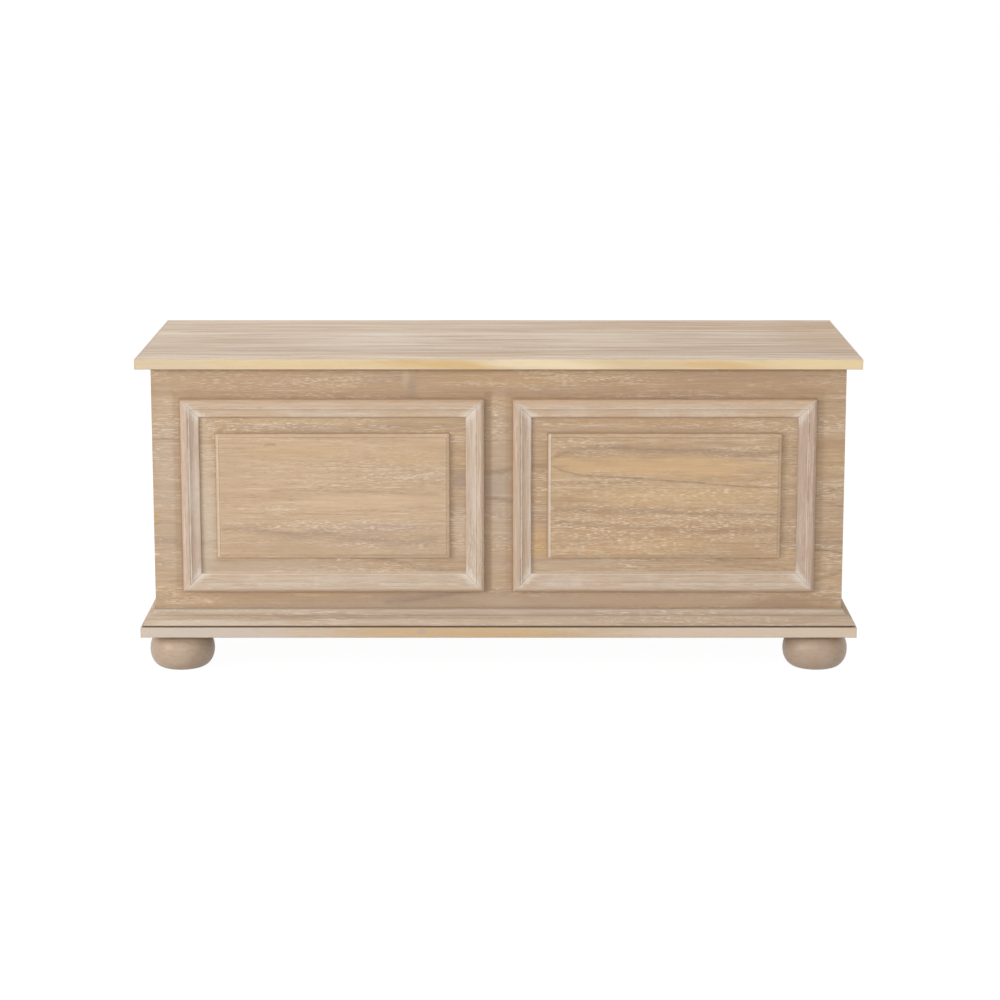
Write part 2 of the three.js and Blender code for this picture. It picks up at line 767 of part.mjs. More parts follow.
function sideBracket() {
  const reach = new THREE.Vector2(0, sideBracketHalfLength);
  const bottom = sidePivot.clone().sub(reach);
  const top = sidePivot.clone().add(reach);
  const span = [sidePlateFace, innerHalfWidth];
  const plate = plateAcross(barOutline(bottom, top, armEyeRadius), span);
  const holes = [bottom, top].map((centre) =>
    rodAcross(bracketScrewRadius, widened(span), centre.x, centre.y, screwHoleFacets),
  );
  const root = sidePlateFace + stayPlate / 2;
  return join(cut(plate, ...holes), ...pivotStud(sidePivot, root, lowerArmSpan));
}

function lidBracket() {
  const [inner, outer] = lowerArmSpan;
  const flangeLevels = [lidUnderside - stayPlate, lidUnderside];
  const ends = [lidPivot.x - lidBracketHalfLength, lidPivot.x + lidBracketHalfLength];
  const flange = boxBetween([outer - lidBracketFlange, outer], ends, flangeLevels);
  const holeX = outer - lidBracketFlange + bracketScrewEdge;
  const holes = [-1, 1].map((side) => {
    const y = lidPivot.x + side * (lidBracketHalfLength - bracketScrewEdge);
    return rodUp(bracketScrewRadius, widened(flangeLevels), holeX, y, screwHoleFacets);
  });
  const tab = new THREE.Shape();
  tab.moveTo(ends[0], lidUnderside);
  tab.absarc(lidPivot.x, lidPivot.y, armEyeRadius, Math.PI, 2 * Math.PI, false);
  tab.lineTo(ends[1], lidUnderside);
  tab.closePath();
  const studRoot = (inner + outer) / 2;
  return join(
    cut(flange, ...holes),
    plateAcross(tab, lowerArmSpan),
    ...pivotStud(lidPivot, studRoot, upperArmSpan),
  );
}

function buildStays() {
  const pieces = {
    side_bracket: sideBracket(),
    lid_bracket: lidBracket(),
    lower_arm: lowerArm(),
    upper_arm: upperArm(),
    elbow_rivet: elbowRivet(),
  };
  for (const [name, side] of leftAndRight) {
    const stay = new THREE.Group();
    stay.scale.x = side;
    for (const [piece, geometry] of Object.entries(pieces)) {
      addMesh(stay, `${name}_stay_${piece}`, geometry, steelMaterial);
    }
    chest.add(stay);
  }
}

buildBase();
buildFeet();
buildCarcass();
buildFront();
buildBaseMoulding();
buildBumpers();
buildLid();
buildHinges();
buildStays();

export default chest;
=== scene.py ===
import math
from functools import partial

import bmesh
import bpy
from mathutils import Matrix, Vector


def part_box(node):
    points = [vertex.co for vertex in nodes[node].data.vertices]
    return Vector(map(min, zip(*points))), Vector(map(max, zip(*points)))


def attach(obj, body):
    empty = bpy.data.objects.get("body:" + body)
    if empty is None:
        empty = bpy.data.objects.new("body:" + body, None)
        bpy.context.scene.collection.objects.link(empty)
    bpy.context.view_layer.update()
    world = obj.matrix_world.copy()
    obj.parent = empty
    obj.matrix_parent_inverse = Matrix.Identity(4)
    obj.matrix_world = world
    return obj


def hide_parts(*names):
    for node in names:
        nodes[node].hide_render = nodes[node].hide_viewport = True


# Blanket chest in limed wood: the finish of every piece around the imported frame.
# Metres, +Z up, the front faces -Y.
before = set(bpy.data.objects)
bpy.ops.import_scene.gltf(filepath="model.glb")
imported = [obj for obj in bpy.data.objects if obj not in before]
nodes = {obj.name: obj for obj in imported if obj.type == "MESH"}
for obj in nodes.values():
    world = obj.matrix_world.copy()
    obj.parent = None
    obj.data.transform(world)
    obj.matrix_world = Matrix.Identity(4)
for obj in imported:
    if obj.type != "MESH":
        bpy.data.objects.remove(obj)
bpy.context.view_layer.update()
mm = 0.001
print("frame loaded:", len(nodes), "nodes")


# Camera and studio
camera = {
    "lens": 103.6,                    # mm
    "sensor": 36,                     # mm
    "place": (0.0021, -4.522, 1.116),
    "lookDown": 11.09,                # degrees below level
    "clip": (0.05, 100),
}
studio = {
    "roomLight": 0.46,                # what the white walls give back
    "floorShade": 0.6,                # how white the floor is to the chest
    "floorRoughness": 0.9,
    "floorGlow": 0.84,                # share of plain white that the camera sees in the floor
    "floorWhite": 1.15,
    "floorReach": 60,
    "aim": (0, 0, 0.25),              # where the lamps point
    "lamps": {
        "left_box": {"place": (-3.6, -2.9, 1.3), "size": (1.8, 1.5), "power": 78},
        "front_box": {"place": (-0.3, -5.4, 1.3), "size": (4.6, 1.6), "power": 88},
        "right_box": {"place": (3.8, -2.2, 1.2), "size": (1.8, 1.5), "power": 12},
        "top_box": {"place": (-0.7, 0.7, 3.3), "size": (2.0, 1.3), "power": 26},
        "back_box": {"place": (-0.4, 3.4, 3.6), "size": (2.4, 1.6), "power": 58},
    },
}


def makeCamera(settings):
    data = bpy.data.cameras.new("camera")
    data.lens = settings["lens"]
    data.sensor_width = settings["sensor"]
    data.clip_start, data.clip_end = settings["clip"]
    item = bpy.data.objects.new("camera", data)
    item.location = settings["place"]
    item.rotation_euler = (math.radians(90 - settings["lookDown"]), 0, 0)
    bpy.context.scene.collection.objects.link(item)
    bpy.context.scene.camera = item


makeCamera(camera)
bpy.context.scene.view_settings.view_transform = "Standard"
print("camera set")


# Shorthands for building materials
class Flow:
    # a value on its way through a material: sums of flows become nodes
    def __init__(self, tree, socket):
        self.tree, self.socket = tree, socket

    def __add__(self, other):
        return calc("ADD", self, other)

    def __sub__(self, other):
        return calc("SUBTRACT", self, other)

    def __mul__(self, other):
        return calc("MULTIPLY", self, other)

    def __truediv__(self, other):
        return calc("DIVIDE", self, other)

    def __abs__(self):
        return calc("ABSOLUTE", self)


def feed(socket, value):
    if isinstance(value, Flow):
        value.tree.links.new(value.socket, socket)
    else:
        socket.default_value = value


def newNode(kind, *values):
    # a node in the tree of the flows that go into it
    tree = next(value.tree for value in values if isinstance(value, Flow))
    return tree, tree.nodes.new(kind)


def calc(operation, *values):
    tree, node = newNode("ShaderNodeMath", *values)
    node.operation = operation
    for socket, value in zip(node.inputs, values):
        feed(socket, value)
    return Flow(tree, node.outputs[0])


def timesPlus(value, factor, term):
    return calc("MULTIPLY_ADD", value, factor, term)


def largest(values):
    most, *others = values
    for value in others:
        most = calc("MAXIMUM", most, value)
    return most


def point(*values):
    tree, node = newNode("ShaderNodeCombineXYZ", *values)
    for socket, value in zip(node.inputs, values):
        feed(socket, value)
    return Flow(tree, node.outputs[0])


def noise(spot, detail, roughness):
    tree, node = newNode("ShaderNodeTexNoise", spot)
    for name, value in (("Vector", spot), ("Scale", 1), ("Detail", detail), ("Roughness", roughness)):
        feed(node.inputs[name], value)
    return Flow(tree, node.outputs["Fac"])


def evenNoise(place, perMetre, detail, roughness, turn=0):
    # noise of one grain size in every direction
    return noise(point(*(timesPlus(place[letter], perMetre, turn) for letter in "xyz")), detail, roughness)


def between(value, low, high, start=0, end=1):
    # start below low, end above high, and a smooth change from one to the other
    tree, node = newNode("ShaderNodeMapRange", value, low, high)
    node.interpolation_type = "SMOOTHSTEP"
    given = {"Value": value, "From Min": low, "From Max": high, "To Min": start, "To Max": end}
    for name, part in given.items():
        feed(node.inputs[name], part)
    return Flow(tree, node.outputs["Result"])


def lay(under, over, amount):
    # one colour laid over another
    tree, node = newNode("ShaderNodeMix", amount, under, over)
    node.data_type = "RGBA"
    feed(node.inputs["Factor"], amount)
    colours = [socket for socket in node.inputs if socket.type == "RGBA"]
    feed(colours[0], under)
    feed(colours[1], over)
    return Flow(tree, next(socket for socket in node.outputs if socket.type == "RGBA"))


def ramp(amount, stops):
    tree, node = newNode("ShaderNodeValToRGB", amount)
    feed(node.inputs["Fac"], amount)
    elements = node.color_ramp.elements
    while len(elements) < len(stops):
        elements.new(1)
    for element, (place, colour) in zip(elements, stops):
        element.position = place
        element.color = colour
    return Flow(tree, node.outputs["Color"])


def bump(height, distance, strength):
    tree, node = newNode("ShaderNodeBump", height)
    for name, value in (("Distance", distance), ("Strength", strength), ("Height", height)):
        feed(node.inputs[name], value)
    return Flow(tree, node.outputs["Normal"])


def letters(tree, socket):
    split = tree.nodes.new("ShaderNodeSeparateXYZ")
    tree.links.new(socket, split.inputs[0])
    return [Flow(tree, output) for output in split.outputs]


def nodeOfKind(tree, kind):
    return next(node for node in tree.nodes if node.type == kind)


def plainFinish(name):
    material = bpy.data.materials.new(name)
    material.use_nodes = True
    return material, nodeOfKind(material.node_tree, "BSDF_PRINCIPLED")


def newFinish(name):
    # a material, its shader, and the point on the piece in the chest's frame, which moves with the piece
    material, shader = plainFinish(name)
    tree = material.node_tree
    place = tree.nodes.new("ShaderNodeTexCoord").outputs["Object"]
    return material, shader, dict(zip("xyz", letters(tree, place)))


def tone(red, green, blue):
    # a colour as a paint chart gives it, 0 to 255, made linear
    parts = [value / 255 for value in (red, green, blue)]
    return tuple(p / 12.92 if p <= 0.04045 else ((p + 0.055) / 1.055) ** 2.4 for p in parts) + (1,)


def patchTable(rows):
    # soft patches: the middle and the reach both ways in mm, the strength and, unless it is lime, the tone
    table = {}
    for name, (along, across, halfAlong, halfAcross, strength, *colour) in rows.items():
        table[name] = {"centre": (along, across), "half": (halfAlong, halfAcross), "strength": strength}
        if colour:
            table[name]["tone"] = tone(*colour)
    return table


def veinTable(rows):
    # each dark line: its width in mm, its strength, and the places it runs through in mm
    return {name: {"width": row[0], "strength": row[1], "line": row[2:]} for name, row in rows.items()}


# Limed wood. A board is cut from a round log, so its figure comes from rings about a leaning pith.
limedWood = {
    "wood": tone(191, 162, 131),
    "shade": tone(168, 140, 112),     # the darker part of each ring
    "golden": tone(200, 165, 120),
    "grey": tone(162, 142, 124),
    "lime": tone(228, 212, 190),      # white filler left in the pores
    "pore": tone(146, 120, 96),
    "ringWidth": 5.5 * mm,
    "rings": 0.3,                     # strength of each effect, 0 to 1
    "streaks": 0.5,
    "goldenPatches": 0.7,
    "greyPatches": 0.45,
    "limeFlecks": 0.85,
    "fleckSize": (10 * mm, 0.95 * mm),
    "patchSize": (380 * mm, 62 * mm),
    "darkPores": 0.45,
    "paleFibres": 0.54,
    "darkFibres": 0.38,
    "wander": 26 * mm,                # how far the grain strays from straight
    "gloss": 0.72,
    "stave": 0,                       # width of the glued boards, or 0 for one board
    "firstJoint": 0,                  # where a glue joint runs
    "pith": (0.0, 0.06),              # across the board and behind its face
    "lean": (0.0, 0.05),              # how the pith runs off along the board
}
grainNoise = {                        # repeats per metre along and across, offset, detail, roughness
    "sway": (1.9, 9, 0.0, 2, 0.5),
    "ripple": (9, 60, 4.4, 2, 0.5),
    "warmth": (1.7, 11, 17.7, 2, 0.5),
    "fibre": (5, 210, 2.2, 3, 0.6),
    "fineFibre": (20, 640, 6.3, 2, 0.6),
    "crowd": (4, 36, 12.4, 4, 0.6),
}
grainEdge = {                         # the values of its noise between which each effect grows or fades
    "streaks": (0.40, 0.66),
    "golden": (0.52, 0.72),
    "grey": (0.50, 0.72),
    "paleFibres": (0.5, 0.72),
    "darkFibres": (0.3, 0.5),         # full below these, none above
    "darkPores": (0.60, 0.70),
    "limeFlecks": (0.57, 0.635),
    "crowd": (0.44, 0.62),
}
lateWood = {"start": (0.35, 0.92), "end": (0.94, 1.0)}   # shares of a ring's width
ringNoise = {"perMetre": 70, "turn": 5.1, "detail": 4, "roughness": 0.62}
patchNoise, fleckNoise = (3, 0.55), (1, 0.4)   # detail and roughness
patchTurn, fleckTurn, hollowTurn = 9.1, 21.0, 31.5
hollowStretch = 0.7                   # dark pores are longer than the limed ones
seedTurn = (3.17, 1.31, 2.23)         # how far each board's seed moves its noise, along, across and through
fineShare = {"pale": 0.6, "dark": 0.5}   # of the fine fibre in the pale and the dark fibres
rippleShare = 0.16                    # of the grain's stray
strayDepth = 0.6                      # how much of it goes into the board
logShift = {"along": 7.0, "across": 0.16, "through": 0.05, "shade": 0.35}   # how the staves differ
woodRelief = {"share": 0.6, "depth": 0.12 * mm, "strength": 0.5, "dulling": 0.08, "limeDulling": 0.2}
woodShine = 0.35


def limedGrain(place, grain, board, seed):
    # colour, relief and filler of a board whose grain runs along the first letter; each stave is its own log
    along, across, through = (place[letter] for letter in grain)
    shift = None
    if board["stave"]:
        number = calc("FLOOR", (across - board["firstJoint"]) / board["stave"])
        tree, white = newNode("ShaderNodeTexWhiteNoise", number)
        white.noise_dimensions = "1D"
        feed(white.inputs["W"], number + (seed + 0.5))   # between whole numbers
        shift = letters(tree, white.outputs["Color"])
        along = timesPlus(shift[0], logShift["along"], along)

    def stretched(perAlong, perAcross, turn, detail, roughness):
        alongTurn, acrossTurn, throughTurn = (seed * share for share in seedTurn)
        spot = point(
            timesPlus(along, perAlong, alongTurn + turn),
            timesPlus(across, perAcross, acrossTurn + turn),
            timesPlus(through, perAcross, throughTurn - turn),
        )
        return noise(spot, detail, roughness)

    found = {name: stretched(*row) for name, row in grainNoise.items()}
    sway, ripple = found["sway"] - 0.5, found["ripple"] - 0.5
    stray = timesPlus(sway, board["wander"], ripple * (board["wander"] * rippleShare))
    run = place[grain[0]]
    besidePith = across + stray - board["pith"][0] - run * board["lean"][0]
    behindPith = timesPlus(stray, strayDepth, through) - board["pith"][1] + run * board["lean"][1]
    if shift:
        besidePith = timesPlus(shift[1] - 0.5, logShift["across"], besidePith)
        behindPith = timesPlus(shift[2] - 0.5, logShift["through"], behindPith)
    radius = calc("SQRT", calc("POWER", besidePith, 2) + calc("POWER", behindPith, 2))

    # tone of each ring and its dark late wood
    inRing = calc("FRACT", radius / board["ringWidth"])
    late = between(inRing, *lateWood["start"]) * between(inRing, *lateWood["end"], 1, 0)
    band = point(radius * ringNoise["perMetre"], seed * ringNoise["turn"], 0.0)
    band = noise(band, ringNoise["detail"], ringNoise["roughness"])
    patchLong, patchWide = board["patchSize"]
    patch = stretched(1 / patchLong, 1 / patchWide, patchTurn, *patchNoise)
    fleckLong, fleckWide = board["fleckSize"]
    fleck = stretched(1 / fleckLong, 1 / fleckWide, fleckTurn, *fleckNoise)
    hollow = stretched(hollowStretch / fleckLong, 1 / fleckWide, hollowTurn, *fleckNoise)
    fibre, fineFibre = found["fibre"], found["fineFibre"]

    dark = largest([between(band, *grainEdge["streaks"]) * board["streaks"], late * board["rings"]])
    golden = between(found["warmth"], *grainEdge["golden"], 0, board["goldenPatches"])
    colour = lay(board["wood"], board["golden"], golden)
    colour = lay(colour, board["shade"], dark)
    colour = lay(colour, board["grey"], between(patch, *grainEdge["grey"], 0, board["greyPatches"]))
    if shift:
        colour = lay(colour, board["shade"], between(shift[1], 0.0, 1.0, 0.0, logShift["shade"]))
    pale, darker = fineShare["pale"], fineShare["dark"]
    paleFibre = between(timesPlus(fineFibre, pale, fibre * (1 - pale)), *grainEdge["paleFibres"])
    darkFibre = timesPlus(fineFibre, darker, fibre * (1 - darker))
    darkFibre = between(darkFibre, *grainEdge["darkFibres"], 1, 0)
    colour = lay(colour, board["lime"], paleFibre * board["paleFibres"])
    colour = lay(colour, board["pore"], darkFibre * board["darkFibres"])
    poreAmount = between(hollow, *grainEdge["darkPores"]) * board["darkPores"]
    colour = lay(colour, board["pore"], poreAmount)
    limed = between(fleck, *grainEdge["limeFlecks"]) * between(found["crowd"], *grainEdge["crowd"])
    limeAmount = limed * board["limeFlecks"]
    colour = lay(colour, board["lime"], limeAmount)
    return colour, fineFibre * woodRelief["share"] - poreAmount, limeAmount


def boardFinish(name, grain, seed, extra=None, **changes):
    board = {**limedWood, **changes}
    material, shader, place = newFinish(name)
    colour, relief, limeAmount = limedGrain(place, grain, board, seed)
    if extra:
        colour = extra(place, colour)
    feed(shader.inputs["Base Color"], colour)
    rough = timesPlus(relief, -woodRelief["dulling"], board["gloss"])
    feed(shader.inputs["Roughness"], timesPlus(limeAmount, woodRelief["limeDulling"], rough))
    feed(shader.inputs["Normal"], bump(relief, woodRelief["depth"], woodRelief["strength"]))
    shader.inputs["Specular IOR Level"].default_value = woodShine
    return material


arris = {"width": 0.5 * mm, "weld": 0.01 * mm, "from": 30}   # from: degrees at which an edge is softened


def softEdges(node, width):
    # arrises broken as sandpaper leaves them
    weld = node.modifiers.new("weld", "WELD")
    weld.merge_threshold = arris["weld"]
    soft = node.modifiers.new("arris", "BEVEL")
    soft.width = width
    soft.segments = 2
    soft.limit_method = "ANGLE"
    soft.angle_limit = math.radians(arris["from"])
    soft.harden_normals = False
    even = node.modifiers.new("even", "WEIGHTED_NORMAL")
    even.keep_sharp = True


def dress(nodeNames, material, softening=arris["width"]):
    for name in nodeNames:
        node = nodes[name]
        node.data.materials.clear()
        node.data.materials.append(material)
        if softening:
            softEdges(node, softening)


def newPiece(name, shape, sharpFrom, material, body, stoodFor):
    # a piece of the dressed chest, made of a bmesh, on the body that carries it
    bmesh.ops.recalc_face_normals(shape, faces=shape.faces)
    mesh = bpy.data.meshes.new(name)
    shape.to_mesh(mesh)
    shape.free()
    if sharpFrom:
        mesh.set_sharp_from_angle(angle=math.radians(sharpFrom))
    item = bpy.data.objects.new(name, mesh)
    bpy.context.scene.collection.objects.link(item)
    mesh.materials.append(material)
    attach(item, body)
    if stoodFor:
        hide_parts(*stoodFor)


# The front: where the frames and raised panels stand, taken from the frame
def rectangle(lowNode, highNode):
    low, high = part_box(lowNode)[0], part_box(highNode)[1]
    return {
        "centre": ((low.x + high.x) / 2, (low.z + high.z) / 2),
        "half": ((high.x - low.x) / 2, (high.z - low.z) / 2),
    }


frameEdge = rectangle("right_frame_left", "right_frame_right")
panelEdge = rectangle("right_raised_panel", "right_raised_panel")
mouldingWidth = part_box("right_frame_left")[1].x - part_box("right_frame_left")[0].x


def outside(place, edge, grow=0.0):
    # how far a point of the front lies outside either of the two like rectangles
    besideX = abs(abs(place["x"]) - edge["centre"][0]) - (edge["half"][0] + grow)
    besideZ = abs(place["z"] - edge["centre"][1]) - (edge["half"][1] + grow)
    return largest([besideX, besideZ])


def rightwards(place, edge):
    # how far a point lies to the right of the middle of the nearer rectangle
    return calc("SIGN", place["x"]) * (abs(place["x"]) - edge["centre"][0])


crease = {                            # painted shade, with some stain residue, where the mouldings and panels meet the front, under the lid and over the base moulding
    "shadeTone": tone(150, 119, 89),
    "outsideFrame": 6 * mm,
    "rightSide": 0.0,                 # share of the painted shade left where a frame's or panel's own shadow falls
    "outsidePanel": 3 * mm,
    "panelRight": 0.3,
    "insideFrame": 2.4 * mm,
    "innerLeft": 0.45,                # share left of it beside the left and right lengths
    "innerRight": 0.0,
    "underLid": 7 * mm,
    "overMoulding": 9 * mm,
    "mouldingShare": 0.6,
    "margin": 0.2 * mm,               # how far under a moulding the painted shade starts
    "strength": 0.6,
    "uneven": (1.8, -0.2),            # how the noise strengthens and weakens it
}
change = 1 * mm                       # over which one strength gives way to another
frameShadow = {                         # painted shadow: the darker band that runs beside each frame
    "reach": 8.5 * mm,
    "fade": 5.5 * mm,
    "tone": tone(142, 116, 92),
    "leftOf": 0.22,
    "above": 0.2,
    "rightOf": {"left": 0.5, "right": 0.14},
}
innerLime = {"reach": 4.5 * mm, "tone": tone(212, 196, 178), "strength": 0.75, "gain": 1.6}
stained = tone(132, 111, 96)
veins = veinTable({                   # places from the middle and from the floor
    "glue_joint_left": (1.3, 0.7, (-528, 364), (-500, 364), (-484, 363)),
    "glue_joint_inner": (1.4, 0.6, (-458, 366), (-446, 367), (-436, 365)),
    "smudge_left": (3.5, 0.45, (-528, 233), (-506, 236), (-486, 231)),
    "brown_left": (11, 0.3, (-528, 205), (-506, 208), (-486, 204)),
    "stile_upper": (6, 0.65, (-22, 312), (-6, 313), (10, 315), (24, 320)),
    "stile_lower": (5.5, 0.65, (-22, 272), (0, 271), (12, 269), (24, 267)),
    "strip_upper": (6, 0.45, (50, 323), (60, 323), (76, 321)),
    "bottom_left": (5, 0.4, (-190, 180), (-120, 166), (-75, 159), (-50, 158)),
    "under_left": (6, 0.5, (-175, 110), (-130, 114), (-92, 120), (-40, 128)),
    "bottom_right": (4, 0.45, (255, 187), (320, 180), (390, 168), (450, 161)),
    "bottom_right_low": (3, 0.3, (300, 176), (360, 166), (430, 158)),
    "stile_right": (2.8, 0.95, (484, 191), (505, 190), (528, 187)),
    "stile_right_low": (5, 0.5, (484, 142), (505, 150), (528, 158)),
    "stile_right_up": (3, 0.45, (484, 275), (506, 284), (528, 291)),
    "stile_right_mid": (2.4, 0.6, (500, 266), (514, 262), (528, 259)),
})
panelVeins = veinTable({
    "arch_upper": (
        8, 0.52,
        (84, 336), (95, 343), (115, 347), (150, 351), (205, 351),
        (243, 348), (320, 347), (388, 342), (432, 350),
    ),
    "arch_edge": (2, 0.4, (84, 335), (110, 345), (170, 348), (290, 345), (400, 342)),
    "arch_lower": (
        2, 0.66,
        (84, 322), (103, 315), (131, 309), (167, 307), (218, 304),
        (256, 301), (320, 296), (389, 291), (432, 290),
    ),
    "grey_band": (7, 0.45, (80, 252), (115, 255), (167, 252), (243, 254), (300, 249), (432, 247)),
    "low_band": (7, 0.36, (80, 237), (150, 232), (250, 226), (340, 222), (432, 226)),
    "left_band": (
        10, 0.42,
        (-425, 223), (-392, 226), (-354, 222), (-303, 216), (-272, 220),
        (-234, 212), (-195, 210), (-145, 205), (-93, 209),
    ),
    "left_thin": (4, 0.26, (-350, 286), (-300, 287), (-234, 285), (-183, 283), (-93, 279)),
    "left_fleck": (3.5, 0.45, (-356, 356), (-348, 357), (-338, 356)),
})
clouds = patchTable({                 # soft patches in the front, placed as the veins are
    "stile_grey": (-4, 291, 28, 22, 0.5, 158, 142, 128),
    "strip_grey": (-58, 300, 16, 14, 0.6, 158, 138, 126),
    "knot_pale": (-141, 458, 7, 16, 0.4, 202, 184, 166),
    "knot_grey": (-131, 444, 9, 12, 0.5, 150, 136, 126),
    "knot_low": (-134, 429, 16, 6, 0.5, 150, 126, 108),
    "strip_lime": (-446, 280, 20, 110, 0.5, 206, 188, 164),
    "rail_shade": (0, 437, 620, 12, 0.42, 164, 135, 110),
    "under_shade": (0, 111, 620, 19, 0.62, 168, 140, 115),
    "under_grey": (-60, 116, 150, 13, 0.4, 154, 136, 122),
    "rail_left_brown": (-380, 455, 220, 22, 0.4, 178, 148, 120),
    "rail_right_brown": (370, 455, 230, 24, 0.5, 170, 139, 111),
    "corner_gold": (62, 205, 14, 26, 0.5, 204, 164, 116),
    "left_strip_grey": (-446, 215, 18, 70, 0.45, 200, 184, 166),
    "bottom_lime": (-350, 167, 150, 14, 0.5, 188, 172, 152),
    "stile_lime": (0, 276, 24, 150, 0.4, 188, 171, 154),
    "left_stile_lime": (-508, 290, 22, 170, 0.35, 196, 179, 162),
    "bottom_lime_right": (125, 170, 95, 12, 0.4, 190, 171, 150),
    "under_lime": (-200, 103, 330, 8, 0.5, 178, 158, 138),
    "top_gold": (-250, 394, 210, 9, 0.4, 204, 174, 132),
    "top_gold_right": (250, 394, 220, 10, 0.55, 184, 150, 112),
    "rail_gold": (0, 458, 150, 16, 0.4, 188, 154, 112),
    "strip_lime_right": (-58, 225, 14, 50, 0.4, 202, 184, 166),
    "under_tan_right": (230, 112, 300, 12, 0.45, 184, 162, 138),
    "under_tan_middle": (-10, 112, 60, 12, 0.45, 190, 164, 138),
    "under_brown_right": (452, 112, 80, 16, 0.45, 156, 126, 100),
})
panelClouds = patchTable({
    "arch_gold": (250, 322, 190, 18, 0.55, 216, 180, 134),
    "middle_gold": (270, 278, 190, 16, 0.4, 204, 170, 122),
    "dash_gold": (250, 222, 230, 46, 0.45, 194, 156, 114),
    "left_gold": (-300, 346, 90, 15, 0.3, 210, 178, 134),
    "left_gold_two": (-150, 334, 60, 12, 0.3, 206, 173, 130),
    "left_pale": (-210, 270, 150, 12, 0.45, 216, 188, 154),
    "left_low_brown": (-350, 236, 80, 12, 0.35, 184, 154, 126),
    "right_low_brown": (330, 226, 110, 12, 0.35, 170, 136, 106),
    "left_violet": (-190, 226, 120, 9, 0.45, 172, 146, 130),
    "left_end": (-410, 275, 24, 90, 0.35, 190, 164, 134),
    "left_right_brown": (-120, 345, 60, 20, 0.4, 196, 166, 130),
    "left_low": (-240, 204, 210, 22, 0.6, 184, 157, 130),
})
dashes = patchTable({                 # where the white filler lies thick in the pores of the front
    "rail_left": (-268, 453, 125, 12, 0.6),
    "rail_right": (130, 457, 160, 11, 0.6),
    "strip_top": (-320, 384, 80, 8, 0.8),
    "strip_left": (-446, 250, 9, 70, 0.5),
    "stile_top": (-8, 402, 20, 30, 0.8),
    "strip_right": (448, 352, 10, 40, 0.6),
})
panelDashes = patchTable({
    "right_low": (238, 232, 240, 52, 0.9),
    "right_middle": (250, 282, 190, 14, 0.7),
    "right_top": (135, 357, 62, 9, 0.8),
    "right_corner": (385, 350, 48, 6, 0.6),
    "left_low": (-253, 231, 200, 12, 0.85),
    "left_lowest": (-180, 204, 120, 12, 0.7),
    "left_high": (-150, 309, 72, 7, 0.85),
})
markNoise = {                         # repeats per metre along and across the grain, detail, roughness
    "cloudEdge": (14, 70, 4, 0.62),
    "dashEdge": (18, 90, 3, 0.6),
    "veinWobble": (16, 90, 4, 0.7),
    "veinBreaks": (60, 620, 3, 0.7),
    "cluster": (22, 210, 3, 0.6),
    "dash": (105, 1080, 1, 0.4),
    "crease": (150, 150, 4, 0.7),
}


markEdge = {                          # the values of its noise or distance between which each mark changes
    "patch": (0.3, 1.25),
    "veinBreaks": (0.36, 0.62),
    "cluster": (0.38, 0.6),
    "dash": (0.51, 0.59),
}
ragged = {"patch": 1.0, "dashes": 0.8, "vein": 3.5 * mm}   # how far the edges stray to either side
veinLeft = 0.25                       # share of a vein left in its breaks


def markedNoise(place, name, axes="xz"):
    perAlong, perAcross, detail, roughness = markNoise[name]
    return noise(point(place[axes[0]] * perAlong, 0.0, place[axes[1]] * perAcross), detail, roughness)


veinFade = {"share": 0.12, "length": 6 * mm, "margin": 10 * mm, "blur": 0.8, "steady": 5}


def veinMask(place, wobble, vein):
    # how dark a vein is at each point: a smooth line through its places, fading at both ends
    places = [(x * mm, z * mm) for x, z in vein["line"]]
    left, right = places[0][0], places[-1][0]
    low = min(z for _, z in places) - veinFade["margin"]
    high = max(z for _, z in places) + veinFade["margin"]
    share = (place["x"] - left) / (right - left)
    tree, node = newNode("ShaderNodeFloatCurve", share)
    feed(node.inputs["Value"], share)
    curve = node.mapping.curves[0]
    while len(curve.points) < len(places):
        curve.points.new(0.5, 0.5)
    for spot, (x, z) in zip(curve.points, places):
        spot.location = ((x - left) / (right - left), (z - low) / (high - low))
    node.mapping.update()
    level = timesPlus(Flow(tree, node.outputs[0]), high - low, low)
    away = abs(place["z"] - level + wobble * min(1, vein["width"] / veinFade["steady"]))
    mask = between(away, 0, (vein["width"] + veinFade["blur"]) * mm, vein["strength"], 0)
    fade = min(veinFade["share"], veinFade["length"] / (right - left))
    return mask * between(share, -fade, fade) * between(share, 1 - fade, 1 + fade, 1, 0)


def strayed(place, noiseName, reach, axes="xz"):
    # a noise spread to both sides of nothing
    return timesPlus(markedNoise(place, noiseName, axes), 2 * reach, -reach)


def patchMask(place, stray, patch, axes="xz"):
    squares = [
        calc("POWER", (place[letter] - centre * mm) / (half * mm), 2)
        for letter, centre, half in zip(axes, patch["centre"], patch["half"])
    ]
    away = calc("SQRT", squares[0] + squares[1]) + stray
    return between(away, *markEdge["patch"], patch["strength"], 0)


def paintPatches(place, colour, patches, axes="xz"):
    # soft patches on a board whose grain runs along the first of the two axes
    stray = strayed(place, "cloudEdge", ragged["patch"], axes)
    for patch in patches.values():
        colour = lay(colour, patch["tone"], patchMask(place, stray, patch, axes))
    return colour


def markWood(place, colour, veinList, cloudList, dashList):
    stray = strayed(place, "dashEdge", ragged["dashes"])
    wobble = strayed(place, "veinWobble", ragged["vein"])
    broken = between(markedNoise(place, "veinBreaks"), *markEdge["veinBreaks"], veinLeft, 1)
    colour = paintPatches(place, colour, cloudList)
    thick = largest([patchMask(place, stray, zone) for zone in dashList.values()])
    cluster = between(markedNoise(place, "cluster"), *markEdge["cluster"])
    dash = between(markedNoise(place, "dash"), *markEdge["dash"])
    colour = lay(colour, limedWood["lime"], thick * cluster * dash)
    darkest = largest([veinMask(place, wobble, vein) for vein in veinList.values()])
    return lay(colour, stained, darkest * broken)


